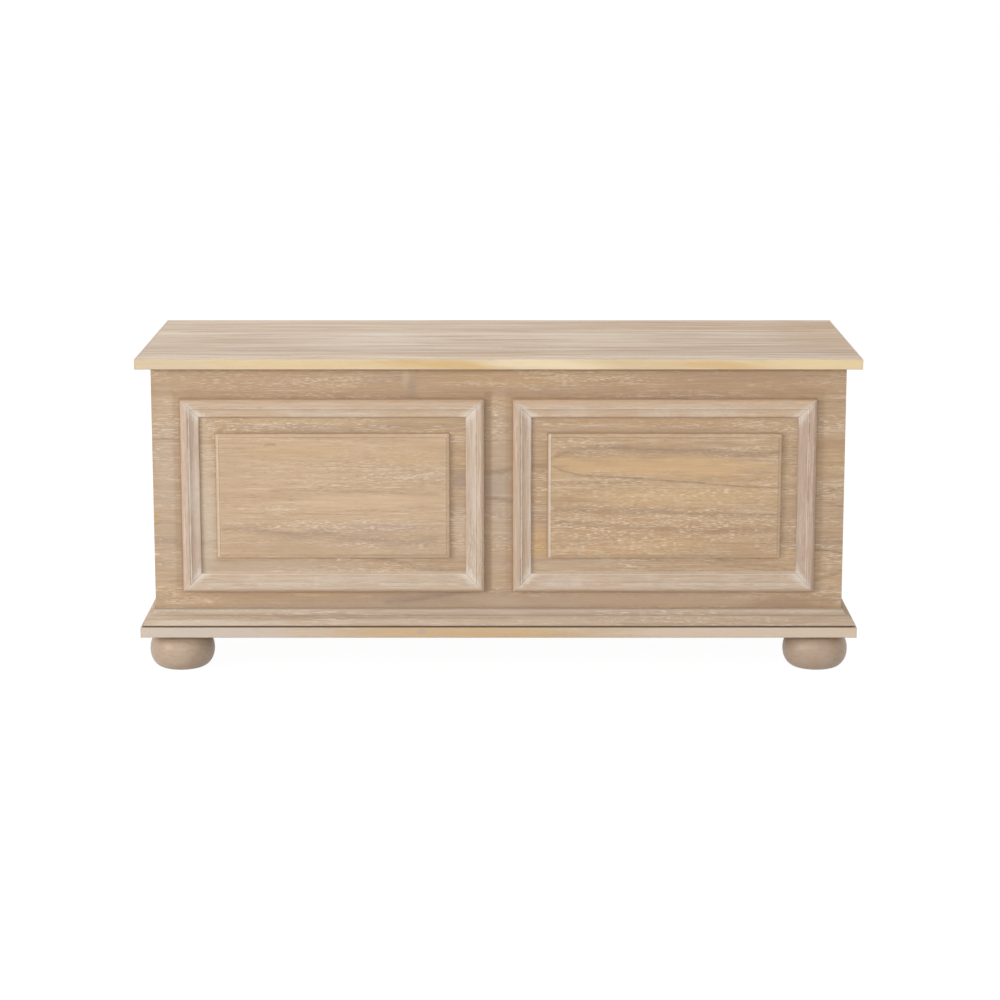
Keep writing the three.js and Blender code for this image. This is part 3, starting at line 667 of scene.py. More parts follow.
def shadeBands(place, colour, frameOut, fromMiddle, rightOf):
    # painted shadow beside the frames: each side of a frame has its own strength of band, and the foot of a
    # frame has none
    (halfWide, halfHigh), middle = frameEdge["half"], frameEdge["centre"][1]
    leftOf = between(fromMiddle, -halfWide - change, -halfWide, frameShadow["leftOf"], 0)
    above = between(place["z"] - (middle + halfHigh), 0, change, 0, frameShadow["above"])
    strengths = frameShadow["rightOf"]
    rightOf = rightOf * between(place["x"], -change, change, strengths["left"], strengths["right"])
    near = between(frameOut, frameShadow["reach"], frameShadow["reach"] + frameShadow["fade"], 1, 0)
    near = near * calc("GREATER_THAN", frameOut, 0)
    near = near * between(place["z"] - (middle - halfHigh), -2 * change, 2 * change)
    return lay(colour, frameShadow["tone"], near * largest([leftOf, rightOf, above]))


def frontMarks(place, colour):
    # veins and patches, and painted shade, with some stain residue, where the mouldings and panels meet the
    # front, under the lid and over the base moulding
    marked = markWood(place, colour, veins, clouds, dashes)
    rough = markedNoise(place, "crease")
    frameOut = outside(place, frameEdge)
    frameIn = outside(place, frameEdge, -mouldingWidth) * -1
    panelOut = outside(place, panelEdge)
    face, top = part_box("front_panel")[0].y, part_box("front_panel")[1].z
    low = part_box("base_moulding_front")[1].z
    fromMiddle = rightwards(place, frameEdge)
    rightOf = between(fromMiddle, frameEdge["half"][0], frameEdge["half"][0] + change)
    marked = shadeBands(place, marked, frameOut, fromMiddle, rightOf)
    aboveInner = place["z"] - (frameEdge["centre"][1] - frameEdge["half"][1] + mouldingWidth)
    panelHalf = panelEdge["half"][0]
    rightOfPanel = between(fromMiddle, panelHalf - change / 2, panelHalf, 1, crease["panelRight"])
    inner = frameEdge["half"][0] - mouldingWidth - crease["insideFrame"]
    besideLeft = between(fromMiddle, -inner - change, -inner, crease["innerLeft"], 1)
    besideRight = between(fromMiddle, inner, inner + change, 1, crease["innerRight"])
    innerShare = between(aboveInner, change, 3 * change) * (besideLeft * besideRight)
    masks = []
    for distance, reach, share in (
        (frameOut, crease["outsideFrame"], between(rightOf, 0, 1, 1, crease["rightSide"])),
        (panelOut, crease["outsidePanel"], rightOfPanel),
        (frameIn, crease["insideFrame"], innerShare),
    ):
        near = between(distance, 0.0, reach, 1, 0) * share
        masks.append(near * calc("GREATER_THAN", distance, -crease["margin"]))
    masks.append(between(place["z"], top - crease["underLid"], top))
    masks.append(between(place["z"], low + crease["overMoulding"], low, 0, crease["mouldingShare"]))
    # painted shade in the creases and over the base moulding, and painted shadow under the lid
    amount = largest(masks) * timesPlus(rough, *crease["uneven"])
    marked = lay(marked, crease["shadeTone"], amount * crease["strength"])
    limed = between(aboveInner, 0, innerLime["reach"], innerLime["strength"], 0) * rough
    limed = limed * calc("GREATER_THAN", frameIn, 0) * innerLime["gain"]
    marked = lay(marked, innerLime["tone"], limed)
    return lay(colour, marked, between(place["y"], face, face + change, 1, 0))


bevel = {
    "width": 4.5 * mm,
    "pale": tone(216, 196, 172),
    "paleStrength": 0.4,
    "leftHighlight": tone(224, 208, 192),  # painted highlight on the slopes that face left
    "leftOuter": tone(186, 166, 150),
    "leftStrength": {"left": 0.3, "right": 0.7},
    "leftEdge": (0.95, 1.1),          # shares of the bevel's width, where the left bevel's painted highlight ends
    "outerEdge": (0.25, 0.6),         # and where it changes tone
    "highlightBreaks": (26, 4, 0.7),         # repeats per metre, detail and roughness along the left bevel
    "highlightBreakEdge": (0.36, 0.6, 0.45, 1),   # from, to, and the painted highlight left at each
    "noise": (90, 3, 0.6),
    "uneven": (1.2, -0.1),
    "edge": 0.4 * mm,
    "arris": 0.3 * mm,
    "line": tone(140, 114, 88),
    "lineWidth": 0.9 * mm,
    "lineStrength": 0.5,
    "lineLeast": 0.4,
}


def panelMarks(side, place, colour):
    # veins, patches, the paler bevel with a fine line at its inner edge, and a painted highlight on the
    # bevels that face left
    colour = markWood(place, colour, panelVeins, panelClouds, panelDashes)
    inside = outside(place, panelEdge) * -1
    rough = evenNoise(place, *bevel["noise"])
    onBevel = between(inside, bevel["width"] - bevel["edge"], bevel["width"], 1, 0)
    colour = lay(colour, bevel["pale"], onBevel * timesPlus(rough, *bevel["uneven"]) * bevel["paleStrength"])
    # painted highlight on the bevel that faces left, greyer towards its outer edge
    fromLeft = (rightwards(place, panelEdge) + panelEdge["half"][0]) / bevel["width"]
    atLeft = between(fromLeft, *bevel["leftEdge"], bevel["leftStrength"][side], 0)
    perMetre, detail, roughness = bevel["highlightBreaks"]
    highlightBreaks = noise(point(0.0, 0.0, place["z"] * perMetre), detail, roughness)
    leftTone = lay(bevel["leftHighlight"], bevel["leftOuter"], between(fromLeft, *bevel["outerEdge"], 1, 0))
    colour = lay(colour, leftTone, atLeft * between(highlightBreaks, *bevel["highlightBreakEdge"]))
    fromLine = abs(inside - (bevel["width"] + bevel["lineWidth"] / 2))
    onLine = between(fromLine, 0, bevel["lineWidth"], bevel["lineStrength"], 0)
    return lay(colour, bevel["line"], onLine * (rough + bevel["lineLeast"]))


raisedWood = {
    "left": {
        "seed": 7, "pith": (0.31, -0.15), "wood": tone(199, 170, 139), "shade": tone(178, 149, 121),
        "rings": 0.12, "streaks": 0.38, "greyPatches": 0.25, "goldenPatches": 0.5, "limeFlecks": 0.45,
        "darkFibres": 0.32,
    },
    "right": {
        "seed": 8, "pith": (0.3227, -0.148), "wood": tone(194, 162, 126), "rings": 0.15, "streaks": 0.45,
        "greyPatches": 0.3, "goldenPatches": 0.8, "limeFlecks": 0.6, "darkFibres": 0.36,
    },
}
lidClouds = patchTable({              # from the middle of the lid's top
    "silver_left": (-205, -30, 125, 110, 0.45, 214, 198, 182),
    "silver_middle": (150, -20, 160, 100, 0.4, 206, 187, 166),
    "brown_right": (500, 0, 80, 230, 0.6, 184, 155, 126),
    "brown_back": (340, 160, 300, 62, 0.8, 178, 148, 119),
    "brown_front": (10, -175, 140, 40, 0.55, 190, 160, 130),
    "brown_front_right": (360, -140, 230, 58, 0.7, 182, 158, 137),
    "back_left": (-200, 168, 400, 56, 0.5, 186, 162, 138),
    "band_back": (-260, 86, 300, 15, 0.6, 178, 158, 138),
    "band_middle": (-290, -88, 290, 14, 0.55, 178, 156, 134),
    "band_front": (-60, -166, 620, 18, 0.6, 178, 154, 130),
})
lidLines = {                          # fine lines that run along the lid
    "dark": {"size": (320 * mm, 15 * mm), "tone": tone(156, 128, 101), "strength": 0.5, "turn": 2.6},
    "pale": {"size": (240 * mm, 13 * mm), "tone": tone(222, 208, 190), "strength": 0.36, "turn": 7.9},
}
lidLineNoise, lidLineEdge = (3, 0.6), (0.5, 0.64)


def lidMarks(place, colour):
    colour = paintPatches(place, colour, lidClouds, "xy")
    for line in lidLines.values():
        long, wide = line["size"]
        spot = point(timesPlus(place["x"], 1 / long, line["turn"]), place["y"] / wide, 0.0)
        lines = between(noise(spot, *lidLineNoise), *lidLineEdge, 0, line["strength"])
        colour = lay(colour, line["tone"], lines)
    return colour


plainer = {"limeFlecks": 0.5, "rings": 0.24}
boards = {                            # finish, grain, seed, marks, and what differs from plain limed wood
    "front_panel": ("front_wood", "xzy", 1, frontMarks, {
        "stave": 173 * mm, "firstJoint": 17.5 * mm, "pith": (0.30, -0.14), "lean": (0.01, 0.06),
        "rings": 0.22, "streaks": 0.42, "limeFlecks": 0.7,
    }),
    "back_panel": ("back_wood", "xzy", 2, None, {
        "stave": 110 * mm, "pith": (0.25, 0.28), "lean": (0.01, 0.05), **plainer,
    }),
    "left_side_panel": ("left_side_wood", "yzx", 3, None, {
        "stave": 90 * mm, "pith": (0.26, -0.44), "lean": (0.01, 0.07), **plainer,
    }),
    "right_side_panel": ("right_side_wood", "yzx", 4, None, {
        "stave": 90 * mm, "pith": (0.24, 0.44), "lean": (0.02, 0.06), **plainer,
    }),
    "base_board": ("base_wood", "xyz", 5, None, {"stave": 110 * mm, "pith": (0.0, 0.14), **plainer}),
    "lid_panel": ("lid_wood", "xyz", 6, lidMarks, {
        "stave": 75 * mm, "pith": (0.4, 0.40), "lean": (0.01, 0.03), "wander": 14 * mm,
        "wood": tone(209, 191, 171), "shade": tone(168, 143, 120), "golden": tone(204, 180, 150),
        "grey": tone(178, 158, 140), "rings": 0.1, "streaks": 0.62, "darkFibres": 0.32, "limeFlecks": 0.45,
        "patchSize": (150 * mm, 15 * mm), "greyPatches": 0.9,
    }),
}


def dressBoards():
    for node, (name, grain, seed, extra, changes) in boards.items():
        dress([node], boardFinish(name, grain, seed, extra, **changes))
    for side, changes in raisedWood.items():
        marks = partial(panelMarks, side)
        changes = {"lean": (0.0, -0.09), **changes}
        wood = boardFinish(f"{side}_raised_wood", "xzy", changes.pop("seed"), marks, **changes)
        dress([f"{side}_raised_panel"], wood, bevel["arris"])


dressBoards()
print("boards dressed")


# Lipping on the lid and base: pale, straight-grained, hardly limed
lipping = {
    "wood": tone(217, 195, 162),
    "shade": tone(206, 182, 146),
    "golden": tone(222, 190, 138),
    "grey": tone(210, 190, 162),
    "lime": tone(232, 217, 194),
    "pore": tone(190, 164, 128),
    "rings": 0.3,
    "streaks": 0.6,
    "goldenPatches": 0.6,
    "greyPatches": 0.4,
    "limeFlecks": 0.25,
    "darkPores": 0.25,
    "wander": 8 * mm,
    "gloss": 0.5,
    "pith": (0.2, 0.4),
    "lean": (0.002, 0.01),
}
lippings = {                          # first seed, lean of the patches, changes, and the front's patches
    "lid": (40, 3.2, {}, patchTable({
        "plain_left": (-520, 482, 130, 20, 0.6, 204, 184, 154),
        "butter_left": (-280, 482, 230, 18, 0.45, 220, 192, 142),
        "gold_left": (-95, 481, 95, 12, 0.85, 208, 174, 118),
        "cream_middle": (78, 482, 95, 18, 0.9, 232, 212, 176),
        "fawn_right": (240, 483, 120, 12, 0.45, 214, 187, 146),
        "gold_right": (330, 480, 70, 7, 0.7, 212, 178, 124),
        "cream_right": (500, 482, 120, 18, 0.8, 230, 205, 160),
    })),
    "base": (50, 0, {
        "wood": tone(204, 180, 152), "golden": tone(206, 176, 134), "shade": tone(188, 162, 132),
    }, patchTable({
        "grey_left": (-460, 66, 210, 40, 0.85, 204, 190, 178),
        "gold_middle": (-70, 66, 170, 22, 0.7, 206, 174, 132),
        "gold_low": (40, 61, 160, 5, 0.45, 204, 170, 124),
        "grey_right": (400, 66, 250, 40, 0.75, 216, 198, 178),
        "knot": (-118, 68, 9, 5, 0.6, 182, 164, 156),
    })),
}
lippingEdges = {                      # how wide each darker, covered or shaded edge is, its tone and its strength
    "lower": (1.4 * mm, limedWood["shade"], 0.5),
    "veneer": (0.5 * mm, tone(190, 169, 148), 0.9),
    # the side arrises: painted shade
    "side": (1.8 * mm, tone(150, 128, 106), 0.7),
}
veneerThickness = 0.2 * mm
lippingArris = 0.25 * mm


def lippingMarks(board, place, colour):
    # patches, a darker lower arris, the board's own veneer carried over the top of the lipping, and painted
    # shade along the side arrises
    low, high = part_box(f"{board}_edging_front")
    _, lean, _, patches = lippings[board]
    leaning = {**place, "x": timesPlus(place["z"] - (low.z + high.z) / 2, lean, place["x"])}
    colour = paintPatches(leaning, colour, patches)
    width, shade, strength = lippingEdges["lower"]
    colour = lay(colour, shade, between(place["z"], low.z + width, low.z, 0, strength))
    width, shade, strength = lippingEdges["veneer"]
    veneer = between(place["z"], high.z - width, high.z - veneerThickness, 0, strength)
    colour = lay(colour, shade, veneer)
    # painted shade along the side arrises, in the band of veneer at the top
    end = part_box(f"{board}_edging_right")[1].x
    width, shade, strength = lippingEdges["side"]
    return lay(colour, shade, between(abs(place["x"]), end - width, end, 0, strength) * veneer)


def dressLipping():
    for board, (seed, _, changes, _) in lippings.items():
        for turn, side in enumerate(("front", "back", "left", "right")):
            grain = "xzy" if side in ("front", "back") else "yzx"
            name = f"{board}_edging_{side}"
            marks = partial(lippingMarks, board)
            wood = boardFinish(f"{name}_wood", grain, seed + turn, marks, **{**lipping, **changes})
            dress([name], wood, lippingArris)


dressLipping()
print("lipping dressed")


# Mouldings: the frames' and the base's sections, finer than the plain solids', swept and mitred
frameMoulding = {
    "sideHeight": 6.4 * mm,
    "beadWidth": 11 * mm,
    "beadHeight": 10.8 * mm,
    "beadCrest": 5.4 * mm,
    "beadFoot": 9.8 * mm,
    "outerShares": (0.28, 0.42, 0.7),
    "innerShares": (0.4, 0.5),
    "quirkWidth": 1.4 * mm,
    "quirkFloor": 8.4 * mm,
    "filletWidth": 1.4 * mm,
    "filletHeight": 9.6 * mm,
    "slopeHeight": 8.6 * mm,
    "lipWidth": 1.2 * mm,
    "lipHeight": 4.2 * mm,
    "slopeShares": (0.22, 0.45, 0.52, 0.06),
    "beadSteps": 12,
    "slopeSteps": 18,
}
baseMoulding = {
    "topWidth": 2.4 * mm,
    "coveDepth": 4.8 * mm,
    "coveDrop": 9.5 * mm,
    "filletWidth": 0.6 * mm,
    "lipHeight": 4 * mm,
    "gap": (4 * mm, 2.4 * mm),        # depth and height of what is left open over the base board
    # painted shadow in the gap over the base board
    "shadeTone": tone(106, 86, 70),
    "shadeStrength": 0.85,
    "shadeEdge": (0.2 * mm, -0.1 * mm),   # above the gap, where the painted shadow ends and where it is full
    "darkTop": (4 * mm, 0.5 * mm),    # below the top, where the darkening starts and where it is full
    "darkTopTone": tone(146, 127, 110),
    "darkTopStrength": 0.6,
    "shadingTints": (                        # painted light and shade up the moulding, as share of its height
        (0.0, tone(190, 166, 142)), (0.30, tone(192, 168, 144)), (0.42, tone(174, 151, 128)),
        (0.54, tone(174, 151, 128)), (0.64, tone(212, 190, 166)), (0.76, tone(212, 190, 166)),
        (0.86, tone(198, 176, 152)), (1.0, tone(186, 164, 140)),
    ),
    "tintStrength": 0.3,
    "coveShares": (0.25, 0.8),
    "curveShares": (0.54, 1.02, 0.77, 0.3),
    "coveSteps": 12,
    "curveSteps": 18,
}
mitrePlay = 0.1 * mm                  # left at each mitred end
arrisRadius = 0.35 * mm               # of the mouldings' corners
samePlace = 1e-6 * mm                 # points nearer than this are one
nearlyStraight = 155                  # degrees from which a corner needs no rounding
cornerShare = 0.45                    # of a side, which its corner may take up
sharpMoulding, sharpFoot = 40, 35     # degrees from which an edge is shaded sharp
nearMitreShares = (0, 0.01, 0.025, 0.05, 0.1, 0.2, 0.35)   # rings of points stand closer near the ends
sweepShares = (*nearMitreShares, 0.5, *(1 - share for share in reversed(nearMitreShares)))


def bezier(points, steps):
    # a curve through the first and last point, drawn towards those between; the first point is left out
    found = []
    for step in range(1, steps + 1):
        row = [Vector(p) for p in points]
        while len(row) > 1:
            row = [a.lerp(b, step / steps) for a, b in zip(row, row[1:])]
        found.append(tuple(row[0]))
    return found


def slopeDown(start, end, shares, steps):
    # a curved slope between two points, its two handles given as shares of the run and the fall
    run, fall = end[0] - start[0], start[1] - end[1]

    def handle(out, up):
        return start[0] + run * out, end[1] + fall * up

    return bezier([start, handle(*shares[:2]), handle(*shares[2:]), end], steps)


def softened(points, radius, steps=3):
    # each sharp corner of a closed outline becomes a small curve
    found = []
    corners = [Vector(p) for p in points]
    for index, here in enumerate(corners):
        toBefore, toAfter = corners[index - 1] - here, corners[(index + 1) % len(corners)] - here
        if min(toBefore.length, toAfter.length) < samePlace:
            continue
        if toBefore.angle(toAfter) > math.radians(nearlyStraight):
            found.append(tuple(here))
            continue
        cut = min(radius, toBefore.length * cornerShare, toAfter.length * cornerShare)
        start = here + toBefore.normalized() * cut
        end = here + toAfter.normalized() * cut
        found.append(tuple(start))
        found.extend(bezier([start, here, end], steps))
    return found


def frameSection(sizes):
    bead, foot = sizes["beadWidth"], sizes["beadFoot"]
    fillet = bead + sizes["quirkWidth"]
    slope = fillet + sizes["filletWidth"]
    crest, top, side = sizes["beadCrest"], sizes["beadHeight"], sizes["sideHeight"]
    start, rise, end = sizes["outerShares"]
    outer = [(0, side), (start * crest, side + rise * (top - side)), (end * crest, top), (crest, top)]
    run, fall = sizes["innerShares"]
    inner = [
        (crest, top), (crest + run * (bead - crest), top), (bead, top - fall * (top - foot)), (bead, foot),
    ]
    quirk, filletTop = sizes["quirkFloor"], sizes["filletHeight"]
    slopeTop, lip = sizes["slopeHeight"], sizes["lipHeight"]
    points = [(0, 0), (0, side), *bezier(outer, sizes["beadSteps"]), *bezier(inner, sizes["beadSteps"])]
    points += [(bead, quirk), (fillet, quirk), (fillet, filletTop), (slope, filletTop), (slope, slopeTop)]
    lipStart = (mouldingWidth - sizes["lipWidth"], lip)
    points += slopeDown((slope, slopeTop), lipStart, sizes["slopeShares"], sizes["slopeSteps"])
    return softened([*points, (mouldingWidth, lip), (mouldingWidth, 0)], arrisRadius)


def baseSection(sizes, depth, height):
    top, lip = sizes["topWidth"], sizes["lipHeight"]
    cove = top + sizes["coveDepth"]
    foot = height - sizes["coveDrop"]
    curve = (cove + sizes["filletWidth"], foot)
    coveOut, coveDown = sizes["coveShares"]
    handle = (top + sizes["coveDepth"] * coveOut, height - sizes["coveDrop"] * coveDown)
    points = [(0, 0), (0, height), (top, height)]
    points += bezier([(top, height), handle, (cove, foot)], sizes["coveSteps"])
    points += [curve, *slopeDown(curve, (depth, lip), sizes["curveShares"], sizes["curveSteps"])]
    gapDepth, gapHeight = sizes["gap"]
    points += [(depth, gapHeight), (depth - gapDepth, gapHeight), (depth - gapDepth, 0)]
    return softened(points, arrisRadius)


def sweep(section, startAt, endAt, place, mitred):
    # the section swept between two cuts; each point keeps how far across it is and how far from a mitre
    shape = bmesh.new()
    acrossLayer = shape.verts.layers.float.new("across")
    mitreLayer = shape.verts.layers.float.new("mitre")
    rings = []
    for share in sweepShares:
        ring = []
        for across, up in section:
            start, end = startAt(across), endAt(across)
            along = start + (end - start) * share
            vertex = shape.verts.new(place(along, across, up))
            vertex[acrossLayer] = across
            vertex[mitreLayer] = min([along - start if mitred[0] else 1, end - along if mitred[1] else 1])
            ring.append(vertex)
        rings.append(ring)
    for ringA, ringB in zip(rings, rings[1:]):
        for index in range(len(section)):
            follow = (index + 1) % len(section)
            shape.faces.new((ringA[index], ringA[follow], ringB[follow], ringB[index])).smooth = True
    shape.faces.new(list(reversed(rings[0])))
    shape.faces.new(rings[-1])
    return shape


mouldingWood = {
    "wood": tone(204, 179, 153),
    "shade": tone(184, 157, 132),
    "golden": tone(205, 178, 144),
    "grey": tone(192, 174, 156),
    "lime": tone(230, 216, 200),
    "pore": tone(158, 132, 110),
    "rings": 0.3,
    "streaks": 0.7,
    "goldenPatches": 0.45,
    "greyPatches": 0.45,
    "limeFlecks": 0.55,
    "darkPores": 0.4,
    "paleFibres": 0.66,
    "darkFibres": 0.5,
    "wander": 12 * mm,
    "pith": (0.7, 0.5),
    "lean": (0.01, 0.012),
}
memberWood = {
    "left_frame_top": {"wood": tone(206, 176, 142), "grey": tone(194, 168, 140)},
    "right_frame_top": {"wood": tone(213, 180, 142), "grey": tone(199, 169, 137)},
    "right_frame_right": {
        "wood": tone(168, 140, 123), "shade": tone(150, 123, 108), "grey": tone(162, 141, 134),
    },
    "left_frame_right": {"wood": tone(200, 178, 156), "lime": tone(236, 226, 214), "limeFlecks": 0.8},
    "left_frame_left": {"wood": tone(202, 178, 162), "shade": tone(182, 156, 138), "greyPatches": 0.2},
    "right_frame_left": {"wood": tone(206, 178, 154)},
    "left_frame_bottom": {"wood": tone(202, 180, 158), "limeFlecks": 0.8},
    "right_frame_bottom": {"wood": tone(198, 175, 154), "limeFlecks": 0.8},
}
baseWood = {
    **mouldingWood, "wood": tone(202, 180, 157), "shade": tone(168, 146, 126), "greyPatches": 0.65,
    "limeFlecks": 0.95, "streaks": 0.95, "fleckSize": (18 * mm, 1.0 * mm), "paleFibres": 0.7,
}
mouldingTints = {                     # across the frame moulding, as shares of its width from its outer side
    # painted shade at the outer foot, in the fillet's corner and towards the lip, and lime in the quirk
    "shadingTints": (
        (0.0, tone(190, 162, 136)), (0.10, tone(202, 176, 152)), (0.25, tone(204, 178, 152)),
        (0.38, tone(200, 176, 152)), (0.42, tone(212, 192, 172)), (0.47, tone(212, 192, 174)),
        (0.51, tone(190, 166, 144)), (0.58, tone(196, 173, 150)), (0.68, tone(200, 178, 155)),
        (0.80, tone(198, 175, 152)), (0.93, tone(190, 167, 143)), (1.0, tone(186, 163, 139)),
    ),
    "strength": 0.5,
    "quirk": (0.39, 0.49),            # where filler stays in broken lines
    "quirkEdge": 0.03,
    "quirkStrength": {"top": 0.38, "left": 0.55, "right": 0.55, "bottom": 0.52},
    "lip": (0.92, 0.97),              # the lip's inner arris: painted shade, but limed on the bottom lengths
    "lipShade": tone(112, 90, 70),
    "bottomLipTone": tone(226, 210, 192),
    "lipStrength": {"top": 0.42, "left": 0.26, "right": 0.0, "bottom": 0.6},
    "residue": tone(224, 213, 200),   # filler not wiped off near the mitres and in patches
    "residueReach": 26 * mm,
    "residueWidens": (0.8, 0.2),      # towards the inner side
    "residueFade": 1.9,
    "residueStrength": 0.7,
    "residueShare": (0.05, 0.5, 0.2, 1),   # from, to, and what is left at each
    "patchEdge": (0.45, 0.68),
    "patchStrength": 0.6,
    "patchShare": (0.2, 0.5),
    "quirkBreaks": (0.40, 0.57, 0.1),  # from, to, and what is left in the breaks
    "streakSize": (60 * mm, 1.7 * mm),
    "streakNoise": (3, 0.62),
    "streakEdge": (0.5, 0.66),
    "brown": tone(168, 138, 116),
    "streaks": {                      # strength of the white and the brown streaks
        "top": (0.15, 0.35), "bottom": (0.28, 0.4), "left": (0.3, 0.5), "right": (0.25, 0.45),
    },
    "bands": {                        # filler left along a length: from, to and strength
        "left_frame_right": (0.42, 0.64, 0.4),
        "right_frame_left": (0.86, 1.0, 0.6),
        "right_frame_right": (0.78, 1.0, 0.12),
    },
    "bandTone": tone(212, 202, 194),
    "bandEdge": 0.04,
    "bandPerMetre": (18, 200),        # repeats of the band's breaks along and across
    "bandNoise": (4, 0.65),
    "bandBreaks": (0.36, 0.6, 0.1),
    "jointWidth": (0.2 * mm, 0.7 * mm),
    "jointStrength": 0.45,
}
firstSeed = {"frames": 20, "base": 30}
mouldingNoise = {                     # repeats per metre, detail, roughness and offset
    "wobble": (120, 3, 0.6),
    "wiped": (11, 3, 0.6, 3.3),
    "quirk": (26, 4, 0.65, 8.1),
}


def limeStreaks(node, member, place, across, share, colour):
    # white and brown streaks along the length, and filler left in a band
    along = place["z"] if member in ("left", "right") else place["x"]
    long, wide = mouldingTints["streakSize"]
    pale, brown = mouldingTints["streaks"][member]
    streaks = ((0.0, brown, mouldingTints["brown"]), (5.0, pale, mouldingTints["residue"]))
    for turn, strength, shade in streaks:
        spot = point(across / wide, timesPlus(along, 1 / long, turn), turn)
        lines = noise(spot, *mouldingTints["streakNoise"])
        colour = lay(colour, shade, between(lines, *mouldingTints["streakEdge"], 0, strength))
    if node in mouldingTints["bands"]:
        start, end, strength = mouldingTints["bands"][node]
        soft = mouldingTints["bandEdge"]
        inBand = between(share, start - soft, start + soft) * between(share, end - soft, end + soft, 1, 0)
        perAlong, perAcross = mouldingTints["bandPerMetre"]
        patchy = noise(point(0.0, along * perAlong, across * perAcross), *mouldingTints["bandNoise"])
        left = between(patchy, *mouldingTints["bandBreaks"], strength)
        colour = lay(colour, mouldingTints["bandTone"], inBand * left)
    return colour


def keptBySweep(place, name):
    # a length that the sweep kept on the moulding's points
    tree, node = newNode("ShaderNodeAttribute", *place.values())
    node.attribute_name = name
    return Flow(tree, node.outputs["Fac"])


def mouldingTint(node, member, place, colour):
    # painted light and shade across the profile, filler streaks and residue, painted shade at the lip's
    # inner arris, and dark mitre joints
    across, mitre = keptBySweep(place, "across"), keptBySweep(place, "mitre")
    share = across / mouldingWidth
    wobble, wiped, broken = (evenNoise(place, *row) for row in mouldingNoise.values())
    residue = mouldingTints["residue"]
    colour = lay(colour, ramp(share, mouldingTints["shadingTints"]), mouldingTints["strength"])
    colour = limeStreaks(node, member, place, across, share, colour)
    reach = timesPlus(share, *mouldingTints["residueWidens"]) * mouldingTints["residueReach"] * wobble
    near = between(mitre / reach, 0.0, mouldingTints["residueFade"], 1, 0) * mouldingTints["residueStrength"]
    colour = lay(colour, residue, near * between(share, *mouldingTints["residueShare"]))
    left = between(wiped, *mouldingTints["patchEdge"], 0, mouldingTints["patchStrength"])
    left = left * between(share, *mouldingTints["patchShare"])
    colour = lay(colour, residue, left * wobble)
    start, end = mouldingTints["quirk"]
    soft = mouldingTints["quirkEdge"]
    inQuirk = between(share, start - soft, start) * between(share, end, end + soft, 1, 0)
    filled = between(broken, *mouldingTints["quirkBreaks"], mouldingTints["quirkStrength"][member])
    colour = lay(colour, residue, inQuirk * filled)
    # painted shade along the lip's inner arris, set per length; the bottom lengths are limed there instead
    onLip = between(share, *mouldingTints["lip"], 0, mouldingTints["lipStrength"][member])
    colour = lay(colour, mouldingTints["bottomLipTone" if member == "bottom" else "lipShade"], onLip)
    joint = between(mitre, *mouldingTints["jointWidth"], mouldingTints["jointStrength"], 0)
    return lay(colour, mouldingWood["pore"], joint)


def makeFrames():
    section = frameSection(frameMoulding)
    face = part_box("front_panel")[0].y
    for number, side in enumerate(("left", "right")):
        low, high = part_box(f"{side}_frame_left")[0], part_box(f"{side}_frame_right")[1]
        width, height = high.x - low.x, high.z - low.z
        members = {
            "bottom": (width, "xzy", lambda u, q, h: (low.x + u, face - h, low.z + q)),
            "right": (height, "zxy", lambda u, q, h: (high.x - q, face - h, low.z + u)),
            "top": (width, "xzy", lambda u, q, h: (high.x - u, face - h, high.z - q)),
            "left": (height, "zxy", lambda u, q, h: (low.x + q, face - h, high.z - u)),
        }
        for turn, (member, (length, grain, place)) in enumerate(members.items()):
            node = f"{side}_frame_{member}"
            shape = sweep(section, lambda q: q + mitrePlay, lambda q: length - q - mitrePlay, place, (1, 1))
            tint = partial(mouldingTint, node, member)
            wood = {**mouldingWood, **memberWood[node]}
            seed = firstSeed["frames"] + len(members) * number + turn
            finish = boardFinish(f"{node}_wood", grain, seed, tint, **wood)
            newPiece(f"{node}_moulding", shape, sharpMoulding, finish, "carcass", [node])


baseClouds = patchTable({             # patches along the front base moulding, placed as the veins are
    "lime_low": (-450, 80, 120, 6, 0.6, 218, 206, 192),
    "lime_top": (-400, 97, 180, 5, 0.5, 208, 192, 172),
    "brown_left": (-300, 88, 220, 4, 0.45, 170, 142, 116),
    "grey_middle": (60, 97, 240, 5, 0.4, 200, 183, 164),
    "brown_right": (330, 82, 240, 5, 0.5, 176, 146, 118),
    "lime_right": (430, 98, 120, 5, 0.5, 206, 190, 170),
    "pale_middle": (0, 84, 260, 8, 0.35, 208, 188, 165),
})
baseDashes = patchTable({
    "left_low": (-450, 81, 120, 7, 0.95),
    "left_top": (-390, 96, 170, 6, 0.7),
    "middle": (0, 82, 200, 6, 0.5),
    "right_low": (260, 84, 250, 7, 0.9),
    "right_top": (420, 97, 130, 6, 0.7),
})
baseVeins = veinTable({
    "brown_line": (1.6, 0.45, (-350, 89), (-200, 88), (20, 87)),
    "right_line": (1.6, 0.4, (180, 80), (300, 79), (470, 80)),
})


def baseMarks(place, colour):
    # painted shadow in the gap over the base board, painted light and shade up the moulding, and a darker
    # top edge
    low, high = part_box("base_moulding_front")
    colour = markWood(place, colour, baseVeins, baseClouds, baseDashes)
    # painted light and shade up the moulding
    shadingTints = ramp(between(place["z"], low.z, high.z), baseMoulding["shadingTints"])
    colour = lay(colour, shadingTints, baseMoulding["tintStrength"])
    # painted shadow in the gap over the base board
    gap = low.z + baseMoulding["gap"][1]
    none, full = (gap + edge for edge in baseMoulding["shadeEdge"])
    inGap = between(place["z"], none, full, 0, baseMoulding["shadeStrength"])
    colour = lay(colour, baseMoulding["shadeTone"], inGap)
    none, full = (high.z - edge for edge in baseMoulding["darkTop"])
    onTop = between(place["z"], none, full, 0, baseMoulding["darkTopStrength"])
    return lay(colour, baseMoulding["darkTopTone"], onTop)


